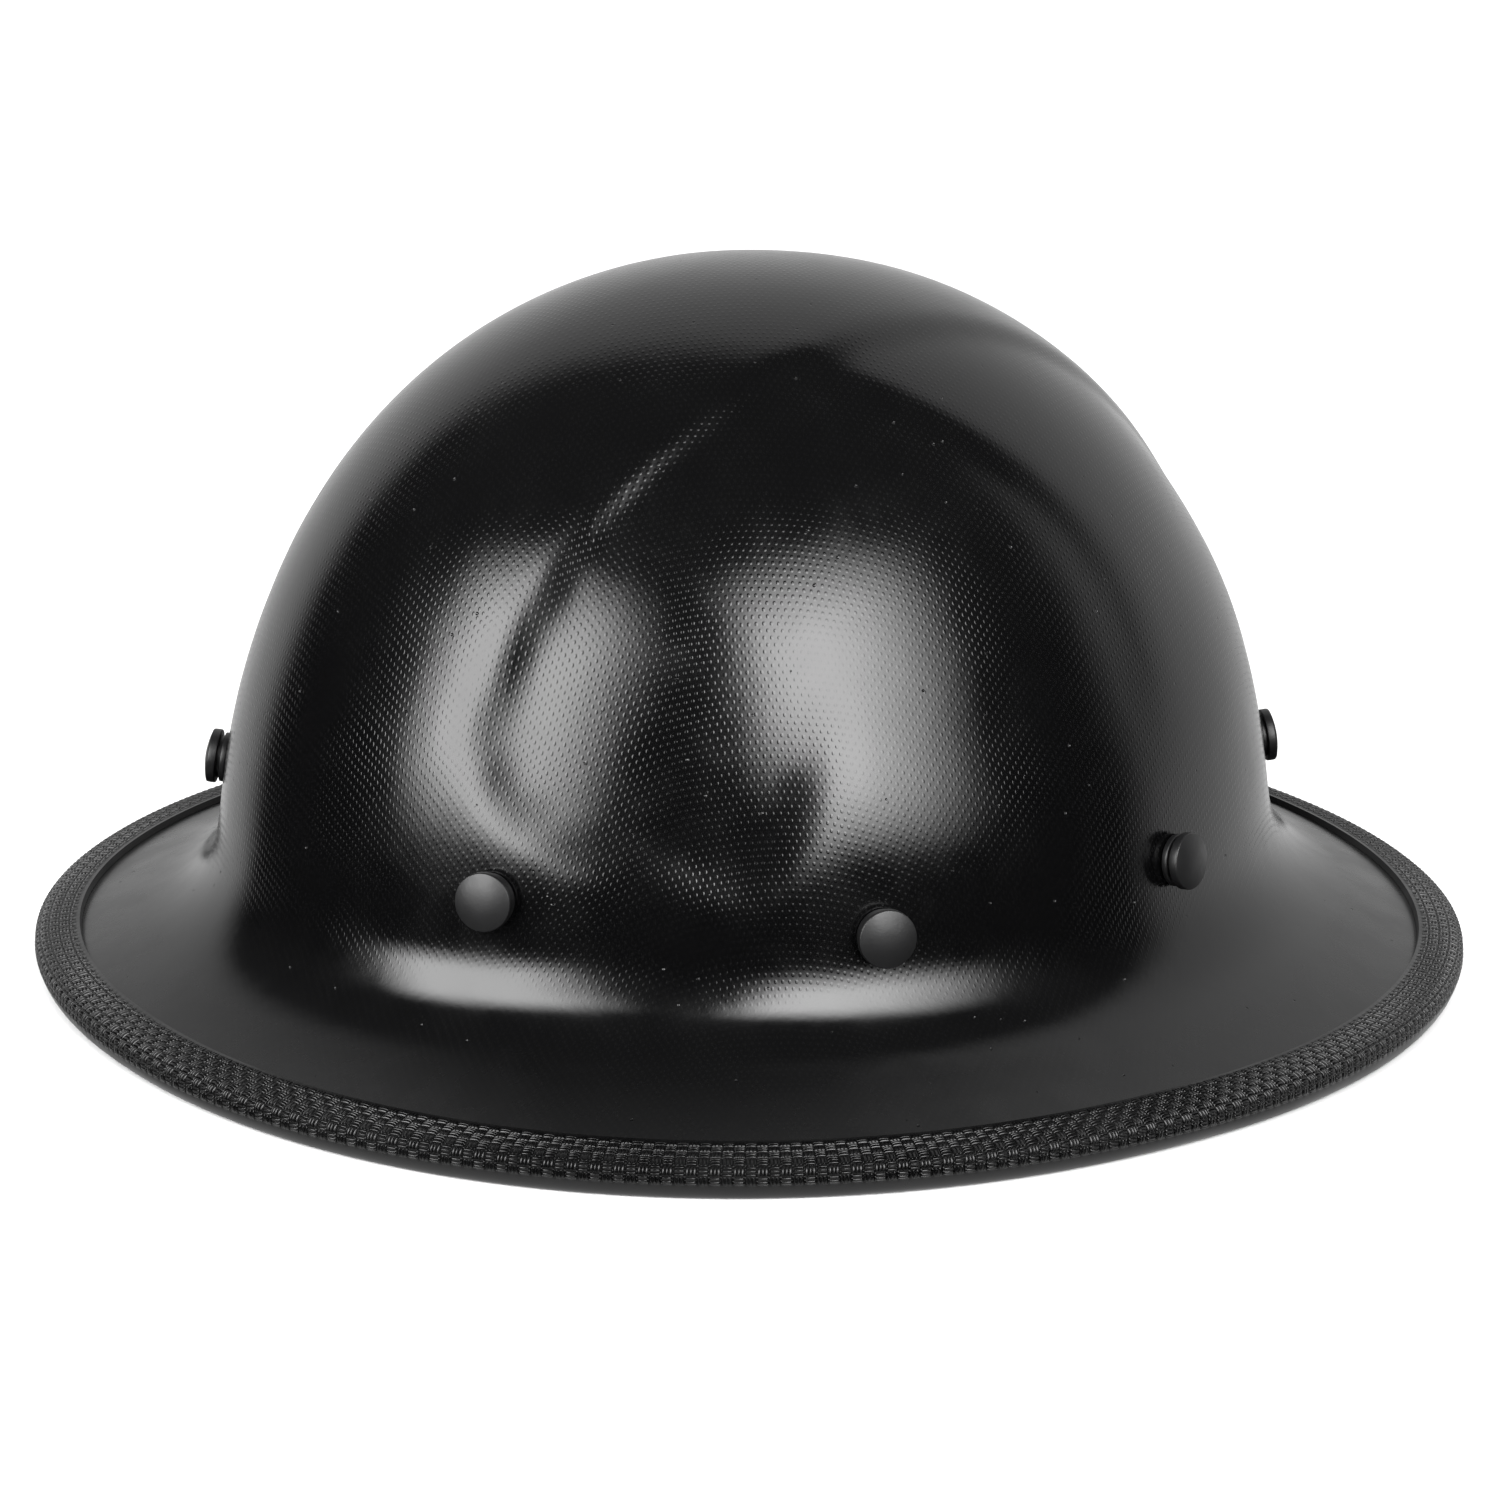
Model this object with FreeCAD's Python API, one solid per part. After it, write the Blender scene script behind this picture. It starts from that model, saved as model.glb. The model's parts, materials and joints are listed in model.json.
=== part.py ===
"""Full-brim fire helmet: shell, edge trim, eight-point suspension, headband and ratchet.

Millimetres.  +Z is up, the wearer faces -Y and the wearer's left is +X.  The origin is the centre
of the bounding box's underside: the helmet stands on its edge trim at Z = 0.

The shell is a surface of revolution in spirit only.  Every level is a superellipse ring, and the
meridian runs from the apex down the crown, round the root fillet and out along the brim.  All that
lies inside the shell takes its place from the same surface function.
"""
import FreeCAD, Part
import math
import os

Vec = FreeCAD.Vector

# ---------------------------------------------------------------- driving dimensions: shell
BRIM_LENGTH = 330.0          # front to back, over the trim
BRIM_WIDTH = 318.0           # side to side, over the trim
BRIM_SQUARENESS = 2.09       # superellipse exponent of the brim's outline
CROWN_LENGTH = 257.0         # front to back at the brim plane, before the root fillet
CROWN_WIDTH = 230.6          # side to side at the brim plane
CROWN_SQUARENESS = 1.88
CROWN_HEIGHT = 156.3         # apex above the middle of the brim's edge
CROWN_LEAN = -2.3            # the apex lies this far forward of the brim's centre
DOME_HEIGHT_POWER = 2.35     # (z / height) ** this + (r / radius) ** next = 1
DOME_RADIUS_POWER = 2.10
WALL = 2.4                   # laminate thickness
ROOT_TOP = 31.0              # the root fillet starts this far above the brim's edge
ROOT_CORNER = 17.0           # where the wall and the brim would meet without the fillet
BRIM_FLARE = 1.5             # the brim lifts by this towards its edge

# side panels, let into the crown on both sides of the centre band
PANEL_DEPTH = 2.6
PANEL_REAR_SHARE = 0.55      # depth that is left behind the panel's rear ridge
BAND_HALF_FRONT = 46.8       # centre band, half width over the forehead
BAND_HALF_REAR = 26.8
BAND_TAPER_START = -50.0     # Y at which the band starts to narrow
BAND_TAPER_LENGTH = 150.0
PANEL_CORNER = 18.0          # rounding of the panel's lower front corner
PANEL_FLOOR = 51.4           # height of the lower edge beside that corner
PANEL_FLOOR_X = 67.0
PANEL_FLOOR_SLOPE = 0.4      # the lower edge drops by this per millimetre of X
PANEL_STEP = 7.0             # width of the step
PANEL_FADE = 26.0            # the lower step widens by this towards the ear
PANEL_FADE_START = 52.0      # degrees from the front
PANEL_FADE_SPAN = 16.0
PANEL_FADE_RISE = 14.0       # and the lower edge rises by this
RIDGE_Y = 39.5               # rear ridge of the panel
RIDGE_BEND_Z = 65.0
RIDGE_BEND_SIZE = 19.8
RIDGE_SOFT = 14.0

# ---------------------------------------------------------------- driving dimensions: edge trim
TRIM_WALL = 2.6              # rubber over the brim's edge
TRIM_GRIP = 8.6              # how far the slot goes on to the brim
TRIM_BULGE = 4.2             # half height of the rounded outer edge
TRIM_LIP = 1.5               # rubber thickness at the inner lips
TRIM_SLOT_GAP = 0.06
TRIM_FLAT = 0.3              # flattened at the foot, where the helmet rests
TRIM_FOOT_HALF = 1.3         # half width of that flat

# ---------------------------------------------------------------- driving dimensions: buttons
BUTTON_ANGLES = (29.5, 70.0, 110.0, 160.0)     # from the front, on each side
BUTTON_HEIGHTS = (40.0, 34.4, 37.4, 37.0)      # above the brim's edge
HANGER_ANGLES = BUTTON_ANGLES[:3]              # the rear pair carries no headband arm
CAP_RADIUS = 6.2
CAP_RIM = 2.0
CAP_DOME = 1.1
NECK_RADIUS = 4.9
NECK = 0.8
FLANGE_RADIUS = 5.7
FLANGE = 1.6
FLANGE_LIFT = 0.25           # the wall flares under a button's lower edge
SHANK_RADIUS = 2.8
SHANK_GAP = 0.1
SHANK_PROUD = 0.5            # the shank's end stands out of its ring
RING = 1.2
RING_RADIUS = 5.0
NECK_EASE = 0.3              # eased lower edge of the cap

# ---------------------------------------------------------------- driving dimensions: sockets
BOSS_RADIUS = 5.2
BOSS_GAP = 0.25              # the wall is hollow behind the flat boss
BOSS = 1.55
SOCKET_WIDTH = 20.0
SOCKET_UP = 8.0
SOCKET_DOWN = 12.0
SOCKET_PLATE = 2.2
SOCKET_WALL = 1.3
SOCKET_CORNER = 3.0
SOCKET_LIP = 1.4             # the pocket's lips hold the key's edges
KEY_THICKNESS = 2.6
KEY_WIDTH = 15.7
KEY_GAP = 0.12
KEY_BEHIND = 0.6             # the key lies this far behind the shank's end
PADDLE_EDGE = 3.1            # the key's head beside its slot
PADDLE_HEIGHT = 14.0
PADDLE_CORNER = 3.5
PADDLE_LIFT = 0.3            # the key's head clears the socket's mouth
STRAP_SLOT_HEIGHT = 3.2
STRAP_SLOT_CORNER = 1.2
STRAP_SLOT_SPARE = 0.4       # at each side of the webbing
STRAP_SLOT_SHARE = 0.36      # the slot's lower edge, as a share of the head's height

# ---------------------------------------------------------------- driving dimensions: straps, pads
STRAP_WIDTH = 20.0
STRAP_THICKNESS = 1.4
STRAP_STACK = STRAP_THICKNESS + 0.09 * STRAP_WIDTH   # between crossing straps: wide ones dip more
STRAP_HEADROOM = 11.0        # between the top strap and the liner
STRAP_OFF_KEY = 0.25
STRAP_STRAIGHT = 14.0        # runs straight along the key before it curves
STRAP_CURVE = 2.4            # exponent of the straps' rise towards the crossing
STRAP_STEPS = 16
STRAP_LOW = 2.0              # the webbing starts this far above the socket's mouth
STRAP_TWIST = 0.6            # the webbing turns to its key over the outer rest of its reach
LINER_THICKNESS = 10.0
LINER_FOOT_THICKNESS = 5.0
LINER_GAP = 0.5
LINER_FOOT = 74.0            # above the brim's edge
LINER_TAPER = 30.0           # height over which the foot thickens
CROWN_PAD_RADIUS = 40.0
CROWN_PAD = 6.0
CROWN_PAD_GAP = 0.5
CROWN_PAD_STEPS = 8

# ---------------------------------------------------------------- driving dimensions: headband
HEAD_HALF_WIDTH = 79.8       # inner radius of the band's round ends
HEAD_STRAIGHT = 36.0         # straight run of each side
HEAD_Y = -1.0                # the band's centre, forward of the brim's centre
BAND_THICKNESS = 1.6
BAND_BOTTOM = 9.0
BAND_HEIGHT = 32.0
BAND_OPENING = 52.0          # half angle of the gap behind the head
STUD_RADIUS = 2.5
STUD_STANDOFF = 1.5
STUD_DROP = 9.0              # studs below the band's top edge
STUD_PROUD = 0.6             # thickness of a cap over its stud's end
STUD_GAP = 0.05
ARM_THICKNESS = 2.4
ARM_WIDTH = 12.0
STUD_CAP_RADIUS = 4.5
STUD_CAP = 1.6
ARM_GAP = 0.08               # between an arm and its socket
ARM_TOP_RISE = 6.0           # the arm ends this far above its stud
ARM_PEG_RADIUS = 2.0
ARM_PEG_Y = -4.0             # peg on the socket's inner wall, below its button
ARM_TOP_Y = 3.0
ARM_LOW_Y = -13.5
ARM_DROP = 14.0              # the arm's bend lies this far below its stud
BAND_SLOT_ANGLES = (-84.0, -62.0, -18.0, 0.0, 18.0, 62.0, 84.0)
BAND_SLOT_HALF = 6.0
BAND_SLOT_HALF_HEIGHT = 1.6
BAND_SLOT_CORNER = 1.5
BAND_SLOT_RISE = 9.0
BROW_PAD = 5.8
BROW_HALF_ANGLE = 70.0
BROW_EXTRA = 2.0
BROW_GAP = 0.1

# ---------------------------------------------------------------- driving dimensions: ratchet
NAPE_THICKNESS = 1.5
NAPE_HEIGHT = 19.0
NAPE_LAYER_GAP = 0.4
NAPE_OUTER_END = 74.0        # degrees from the rear centre
NAPE_INNER_END = 23.5
NAPE_SLOT_HALF = 19.5
TOOTH_ROOT = 0.4             # a rack tooth's foot inside its strap
TOOTH_SPARE = 0.5            # slot edge without teeth, beyond the pinion's tips
RATCHET_Z = 25.0
RATCHET_HALF_ANGLE = 17.0
CHANNEL_GAP = 0.3
HOUSING_WALL = 2.0
HOUSING_RIM = 3.0
PINION_TEETH = 10
MODULE = 1.0
ADDENDUM = 0.8 * MODULE
DEDENDUM = 1.0 * MODULE
PRESSURE_ANGLE = 25.0
BACKLASH = 0.24
SHAFT_RADIUS = 3.0
PIVOT_RADIUS = 1.5
RUNNING_GAP = 0.06
PINION_IN_GAP = 0.15
PINION_OUT_GAP = 0.35
KNOB_RADIUS = 14.0
KNOB_DEPTH = 9.0
KNOB_LIFT = 0.3
KNOB_EASE = 0.8
KNOB_ROUND = 1.6
SHAFT_SHORT = 3.4            # the shaft ends this far below the knob's face
GRIP_COUNT = 18
GRIP_RADIUS = 1.6
SEAT_RADIUS = 12.0           # flat seat on the cover under the knob
SEAT_RISE = 0.5
DETENT_OUTER = 10.8
DETENT_INNER = 9.6
DETENT_TIP = 9.1
DETENT_COUNT = 20
DETENT_HEIGHT = 1.9
DETENT_HALF_WIDTH = 0.8
RECESS_GAP = 0.5             # the knob's recess clears the detent ring
SPRING_HUB = 4.8
SPRING_REACH = 8.8
SPRING_WIDTH = 1.2
SPRING_TIP = 0.6
SCREW_RADIUS = 1.0
SCREW_HEAD = 2.4
SCREW_LENGTH = 5.0
SCREW_CROWN = 1.4
SCREW_WEB = 1.2              # knob material under the screw's head
SCREW_HEAD_GAP = 0.3
SCREW_SLOT_HALF = 0.3
COVER_HEAD = 1.9
COVER_CROWN = 0.9
COVER_SLOT_HALF = 0.25
COVER_SCREW_ANGLE = 13.0
NAPE_PAD = 6.0
NAPE_PAD_HALF_ANGLE = 24.0
GUIDE_ANGLE = 57.0
GUIDE_HALF_ANGLE = 3.5
GUIDE_WALL = 1.3
GUIDE_GAP = 0.1

# ---------------------------------------------------------------- driving dimensions: clearances
TOUCH = 0.02                 # between pieces that rest on each other
SEAT_GAP = 0.05              # between pieces that are clipped or screwed together
MERGE = 0.1                  # fused features run this far into each other
OVERCUT = 1.0                # cutting tools run this far past the surface

# ---------------------------------------------------------------- values that follow
EDGE_Z = TRIM_BULGE - TRIM_FLAT            # height of the brim's edge above the ground
EDGE_HALF_LENGTH = BRIM_LENGTH / 2 - TRIM_WALL
EDGE_HALF_WIDTH = BRIM_WIDTH / 2 - TRIM_WALL
COLUMNS = 120
GROUND_TOLERANCE = 1e-6
CROWN_ROWS = 42
ROOT_ROWS = 6
BRIM_ROWS = 6
REAR_Y = HEAD_Y + HEAD_STRAIGHT / 2        # centre of the band's rear round end
FRONT_Y = HEAD_Y - HEAD_STRAIGHT / 2
NAPE_OUTER_RADIUS = HEAD_HALF_WIDTH - NAPE_LAYER_GAP
RIGHT_LAYER = (NAPE_OUTER_RADIUS - NAPE_THICKNESS, NAPE_OUTER_RADIUS)
LEFT_LAYER = (RIGHT_LAYER[0] - NAPE_LAYER_GAP - NAPE_THICKNESS, RIGHT_LAYER[0] - NAPE_LAYER_GAP)
CHANNEL = (LEFT_LAYER[0] - CHANNEL_GAP, RIGHT_LAYER[1] + CHANNEL_GAP)
PITCH_RADIUS = MODULE * PINION_TEETH / 2
ABOUT_Z = Vec(0, 0, 1)
PARTS = {}


def smooth(t):
    """Cubic step from 0 to 1."""
    t = min(max(t, 0.0), 1.0)
    return t * t * (3 - 2 * t)


def ring_radius(angle, half_length, half_width, power):
    """Polar radius of a superellipse at an angle from the front."""
    along = abs(math.cos(angle)) / half_length
    across = abs(math.sin(angle)) / half_width
    return (along ** power + across ** power) ** (-1 / power)


def crown_share(height):
    """Ring size at a height above the brim's edge, as a share of the base ring."""
    drop = min(max(height / CROWN_HEIGHT, 0.0), 1.0) ** DOME_HEIGHT_POWER
    return (1 - drop) ** (1 / DOME_RADIUS_POWER)


def place(angle, radius, height):
    """Point at a polar angle, a radius and a height above the brim's edge."""
    lean = CROWN_LEAN * height / CROWN_HEIGHT
    return Vec(radius * math.sin(angle), lean - radius * math.cos(angle), height + EDGE_Z)


def root_profile(angle):
    """Fillet and brim in the meridian plane, as (radius, height) points."""
    base = ring_radius(angle, CROWN_LENGTH / 2, CROWN_WIDTH / 2, CROWN_SQUARENESS)
    edge = ring_radius(angle, EDGE_HALF_LENGTH, EDGE_HALF_WIDTH, BRIM_SQUARENESS)
    step = 0.5
    wall = base * crown_share(ROOT_TOP)
    lean_in = (base * crown_share(ROOT_TOP + step) - base * crown_share(ROOT_TOP - step)) / (2 * step)
    drop = ROOT_TOP - ROOT_CORNER
    corner = wall - lean_in * drop
    wall_length = math.hypot(corner - wall, drop)
    edge_top = WALL / 2
    slope_length = math.hypot(edge - corner, ROOT_CORNER - edge_top + BRIM_FLARE)
    slope = ((edge - corner) / slope_length, (edge_top - BRIM_FLARE - ROOT_CORNER) / slope_length)
    points = []
    for index in range(1, ROOT_ROWS + 1):
        t = index / ROOT_ROWS
        start = (1 - t) ** 2
        middle = 2 * t * (1 - t)
        end_r = corner + slope[0] * wall_length
        end_z = ROOT_CORNER + slope[1] * wall_length
        points.append((start * wall + middle * corner + t * t * end_r,
                       start * ROOT_TOP + middle * ROOT_CORNER + t * t * end_z))
    first = points[-1]
    left = slope_length - wall_length
    for index in range(1, BRIM_ROWS + 1):
        t = index / BRIM_ROWS
        points.append((first[0] + slope[0] * left * t,
                       first[1] + slope[1] * left * t + BRIM_FLARE * t * t))
    return points


def plain_rows(columns=COLUMNS):
    """Outer surface without its panels: rows from the apex to the brim's edge."""
    angles = [math.pi + 2 * math.pi * index / columns for index in range(columns)]
    last = math.acos((ROOT_TOP / CROWN_HEIGHT) ** (DOME_HEIGHT_POWER / 2))
    rows = []
    for index in range(CROWN_ROWS + 1):
        turn = last * index / CROWN_ROWS
        height = CROWN_HEIGHT * math.cos(turn) ** (2 / DOME_HEIGHT_POWER)
        share = math.sin(turn) ** (2 / DOME_RADIUS_POWER)
        rows.append([place(a, share * ring_radius(a, CROWN_LENGTH / 2, CROWN_WIDTH / 2,
                                                  CROWN_SQUARENESS), height) for a in angles])
    profiles = [root_profile(a) for a in angles]
    for index in range(ROOT_ROWS + BRIM_ROWS):
        rows.append([place(a, *profile[index]) for a, profile in zip(angles, profiles)])
    return rows


def row_normals(rows):
    """Outward normals of a grid of points that is closed round its columns."""
    count = len(rows[0])
    normals = []
    for r, row in enumerate(rows):
        above = rows[max(r - 1, 0)]
        below = rows[min(r + 1, len(rows) - 1)]
        line = []
        for c in range(count):
            if r == 0:
                line.append(Vec(0, 0, 1))
                continue
            around = row[(c + 1) % count] - row[c - 1]
            down = below[c] - above[c]
            line.append(down.cross(around).normalize())
        normals.append(line)
    return normals


def band_half_width(y):
    """Half width of the raised centre band at Y."""
    taper = smooth((y - BAND_TAPER_START) / BAND_TAPER_LENGTH)
    return BAND_HALF_FRONT + (BAND_HALF_REAR - BAND_HALF_FRONT) * taper


def panel_depth(point):
    """How far the side panel sinks at a point of the plain crown."""
    height = point.z - EDGE_Z
    if height < ROOT_TOP:
        return 0.0
    from_band = abs(point.x) - band_half_width(point.y)
    ear = math.degrees(math.atan2(abs(point.x), -point.y))
    from_floor = height - (PANEL_FLOOR - PANEL_FLOOR_SLOPE * (abs(point.x) - PANEL_FLOOR_X))
    fade = smooth((ear - PANEL_FADE_START) / PANEL_FADE_SPAN)
    from_floor -= PANEL_FADE_RISE * fade
    if from_band < PANEL_CORNER and from_floor < PANEL_CORNER:
        inside = PANEL_CORNER - math.hypot(PANEL_CORNER - from_band, PANEL_CORNER - from_floor)
    else:
        inside = min(from_band, from_floor)
    step = smooth(inside / PANEL_STEP)
    soft = smooth(from_floor / (PANEL_STEP + PANEL_FADE * fade))
    ridge = RIDGE_Y - (max(0.0, height - RIDGE_BEND_Z) / RIDGE_BEND_SIZE) ** 3
    ahead = smooth((ridge - point.y + RIDGE_SOFT / 2) / RIDGE_SOFT)
    share = PANEL_REAR_SHARE + (1 - PANEL_REAR_SHARE) * ahead
    return PANEL_DEPTH * min(step, soft) * share


def offset_rows(rows, normals, distance):
    """Rows moved along their normals."""
    return [[p + n * distance for p, n in zip(row, line)] for row, line in zip(rows, normals)]


def band(rows, degree):
    """B-spline face through rows of poles, closed round its columns."""
    count = len(rows)
    degree = min(degree, count - 1)
    knots = [float(k) for k in range(count - degree + 1)]
    mults = [degree + 1] + [1] * (len(knots) - 2) + [degree + 1]
    turns = [float(k) for k in range(len(rows[0]) + 1)]
    surface = Part.BSplineSurface()
    surface.buildFromPolesMultsKnots(rows, mults, [1] * len(turns), knots, turns, False, True, degree, 3)
    return surface.toShape()


def sewn(faces):
    """Closed solid of faces that share their edges."""
    shell = Part.makeShell(faces)
    shell.sewShape()
    solid = Part.makeSolid(Part.Shell(shell.Faces))
    if solid.Volume < 0:
        solid.reverse()
    return solid


def keep(name, shape):
    """Records a node's shape, one solid or a group of separate solids."""
    PARTS[name] = shape


# ---------------------------------------------------------------- shell and what follows its wall
PLAIN = plain_rows()
NORMALS = row_normals(PLAIN)
OUTER = [[p - n * panel_depth(p) for p, n in zip(row, line)] for row, line in zip(PLAIN, NORMALS)]
INNER = offset_rows(OUTER, NORMALS, -WALL)


def wall_frame(angle_deg, height):
    """Placement on the crown's outside: local X sideways, Y up the wall, Z outwards."""
    angle = math.radians(angle_deg)
    base = (CROWN_LENGTH / 2, CROWN_WIDTH / 2, CROWN_SQUARENESS)

    def spot(a, h):
        return place(a, ring_radius(a, *base) * crown_share(h), h)

    origin = spot(angle, height)
    side = (spot(angle + 0.001, height) - spot(angle - 0.001, height)).normalize()
    up = (spot(angle, height + 0.1) - spot(angle, height - 0.1)).normalize()
    out = side.cross(up).normalize()
    up = out.cross(side)
    matrix = FreeCAD.Matrix(side.x, up.x, out.x, origin.x,
                            side.y, up.y, out.y, origin.y,
                            side.z, up.z, out.z, origin.z, 0, 0, 0, 1)
    return FreeCAD.Placement(matrix)


def button_frames():
    """Eight placements, each side from the front to the rear, left side first."""
    frames = []
    for sign in (1, -1):
        for angle, height in zip(BUTTON_ANGLES, BUTTON_HEIGHTS):
            frames.append(wall_frame(sign * angle, height))
    return frames


FRAMES = button_frames()


def put(shape, frame):
    """Copy of a local shape at a placement."""
    copy = shape.copy()
    copy.Placement = frame.multiply(copy.Placement)
    return copy


def turned(points):
    """Solid turned about local Z from a profile of (radius, z) points."""
    wire = Part.makePolygon([Vec(r, 0, z) for r, z in points + points[:1]])
    return Part.Face(wire).revolve(Vec(0, 0, 0), Vec(0, 0, 1), 360)


def block(x0, x1, y0, y1, z0, z1):
    """Box between two corners."""
    return Part.makeBox(x1 - x0, y1 - y0, z1 - z0, Vec(x0, y0, z0))


def rod(radius, z0, z1):
    """Cylinder on local Z."""
    return Part.makeCylinder(radius, z1 - z0, Vec(0, 0, z0))


PLATE_Z = -(WALL + BOSS_GAP + BOSS)             # outer face of the socket's plate
RING_Z = PLATE_Z - SOCKET_PLATE                 # the retaining ring lies against the plate
SHANK_END = RING_Z - RING - SHANK_PROUD
KEY_Z = SHANK_END - KEY_BEHIND                         # outer face of the key
KEY_IN = KEY_Z - KEY_THICKNESS
SOCKET_IN = KEY_IN - KEY_GAP - SOCKET_WALL      # inner face of the socket


def make_shell():
    """Moulded shell with its button holes."""
    body = sewn([band(OUTER, 3), band([OUTER[-1], INNER[-1]], 1), band(INNER, 3)])
    holes = [put(rod(SHANK_RADIUS + SHANK_GAP, -3 * WALL, 3 * WALL), frame) for frame in FRAMES]
    return body.cut(holes)


def trim_section(column):
    """One section of the edge trim: top and bulge, flat foot, underside, slot."""
    edge_out, edge_in = OUTER[-1][column], INNER[-1][column]
    middle = (edge_out + edge_in) * 0.5
    back = ((OUTER[-3][column] + INNER[-3][column]) * 0.5 - middle).normalize()
    up = (edge_out - edge_in).normalize()
    slot = WALL / 2 + TRIM_SLOT_GAP
    lip = slot + TRIM_LIP

    def at(along, across):
        return middle + back * along + up * across

    foot = at(0.0, -TRIM_BULGE)
    outwards = Vec(-back.x, -back.y, 0).normalize() * TRIM_FOOT_HALF
    top = [at(TRIM_GRIP, lip), at(0.62 * TRIM_GRIP, 1.25 * lip), at(0.3 * TRIM_GRIP, TRIM_BULGE),
           at(0.0, TRIM_BULGE), at(-0.8 * TRIM_WALL, 0.86 * TRIM_BULGE), at(-1.2 * TRIM_WALL, 0.0),
           at(-0.9 * TRIM_WALL, -0.75 * TRIM_BULGE),
           Vec(foot.x + outwards.x, foot.y + outwards.y, 0)]
    below = [Vec(foot.x - outwards.x, foot.y - outwards.y, 0),
             at(0.5 * TRIM_GRIP, -1.2 * lip), at(TRIM_GRIP, -lip)]
    inside = [at(TRIM_GRIP, -slot), at(-TRIM_SLOT_GAP, -slot),
              at(-TRIM_SLOT_GAP, slot), at(TRIM_GRIP, slot)]
    return top, below, inside


def ground_wire(face):
    """The closed edge of a trim face that lies on the ground, as a wire."""
    return Part.Wire([edge for edge in face.Edges if edge.BoundBox.ZMax < GROUND_TOLERANCE])


def make_trim():
    """Rubber edge section: a rounded bulge, a flat foot and a slot that grips the brim."""
    sections = [trim_section(column) for column in range(COLUMNS)]
    top, below, inside = [[list(row) for row in zip(*(section[part] for section in sections))]
                          for part in range(3)]
    bulge, underside = band(top, 3), band(below, 2)
    foot = Part.makeFace([ground_wire(bulge), ground_wire(underside)], "Part::FaceMakerBullseye")
    faces = [bulge, foot.Faces[0], underside, band([below[-1], inside[0]], 1)]
    faces += [band([inside[k], inside[k + 1]], 1) for k in range(3)]
    faces.append(band([inside[-1], top[0]], 1))
    return sewn(faces)


def make_liner():
    """Foam dome that follows the inside of the crown down to its foot."""
    kept = [row for row in range(CROWN_ROWS + 1) if PLAIN[row][0].z >= LINER_FOOT + EDGE_Z]
    outer, inner = [], []
    for row in kept:
        level = smooth((PLAIN[row][0].z - EDGE_Z - LINER_FOOT) / LINER_TAPER)
        thick = LINER_FOOT_THICKNESS + (LINER_THICKNESS - LINER_FOOT_THICKNESS) * level
        outer.append([p - n * LINER_GAP for p, n in zip(INNER[row], NORMALS[row])])
        inner.append([p - n * thick for p, n in zip(outer[-1], NORMALS[row])])
    return sewn([band(outer, 3), band([outer[-1], inner[-1]], 1), band(inner, 3)])


# ---------------------------------------------------------------- buttons and sockets
def make_button():
    """Domed cap, neck and shank in one."""
    under = FLANGE + NECK
    rim = under + CAP_RIM
    crest = rim + CAP_DOME
    radius = (CAP_RADIUS ** 2 + CAP_DOME ** 2) / (2 * CAP_DOME)
    half = math.asin(CAP_RADIUS / radius) / 2
    shoulder = Vec(radius * math.sin(half), 0, crest - radius * (1 - math.cos(half)))
    corners = [(0, SHANK_END), (SHANK_RADIUS, SHANK_END), (SHANK_RADIUS, FLANGE + SEAT_GAP),
               (NECK_RADIUS, FLANGE + SEAT_GAP), (NECK_RADIUS, under), (CAP_RADIUS - NECK_EASE, under),
               (CAP_RADIUS, under + NECK_EASE), (CAP_RADIUS, rim)]
    points = [Vec(r, 0, z) for r, z in corners]
    edges = [Part.makeLine(a, b) for a, b in zip(points, points[1:])]
    edges.append(Part.Arc(points[-1], shoulder, Vec(0, 0, crest)).toShape())
    edges.append(Part.makeLine(Vec(0, 0, crest), points[0]))
    return Part.Face(Part.Wire(edges)).revolve(Vec(0, 0, 0), Vec(0, 0, 1), 360)


def make_washer(radius, bore, z0, z1):
    """Flat ring on local Z."""
    return rod(radius, z0, z1).cut(rod(bore, z0 - OVERCUT, z1 + OVERCUT))


def slab(x0, x1, y0, y1, z0, z1, corner):
    """Plate with rounded corners, seen along local Z."""
    box = block(x0, x1, y0, y1, z0, z1)
    upright = [e for e in box.Edges if abs(e.tangentAt(e.FirstParameter).z) > 0.99]
    return box.makeFillet(corner, upright)


def make_socket(has_arm):
    """Moulded hanger socket: boss on the wall, plate, and a pocket for the strap key."""
    half = SOCKET_WIDTH / 2
    floor = -SOCKET_DOWN + SOCKET_WALL
    body = slab(-half, half, -SOCKET_DOWN, SOCKET_UP, SOCKET_IN, PLATE_Z, SOCKET_CORNER)
    body = body.fuse(rod(BOSS_RADIUS, PLATE_Z - MERGE, PLATE_Z + BOSS)).removeSplitter()
    tongue = KEY_WIDTH / 2 + KEY_GAP
    mouth = SOCKET_UP + OVERCUT
    cuts = [block(-tongue + SOCKET_LIP, tongue - SOCKET_LIP, floor, mouth, KEY_Z, RING_Z),
            block(-tongue, tongue, floor, mouth, KEY_IN - KEY_GAP, KEY_Z + KEY_GAP),
            rod(SHANK_RADIUS + SHANK_GAP, RING_Z - OVERCUT, OVERCUT)]
    if has_arm:
        cuts.append(Part.makeCylinder(ARM_PEG_RADIUS + KEY_GAP / 2, 2 * SOCKET_WALL,
                                      Vec(0, ARM_PEG_Y, SOCKET_IN - SOCKET_WALL / 2)))
    return body.cut(cuts)


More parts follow.
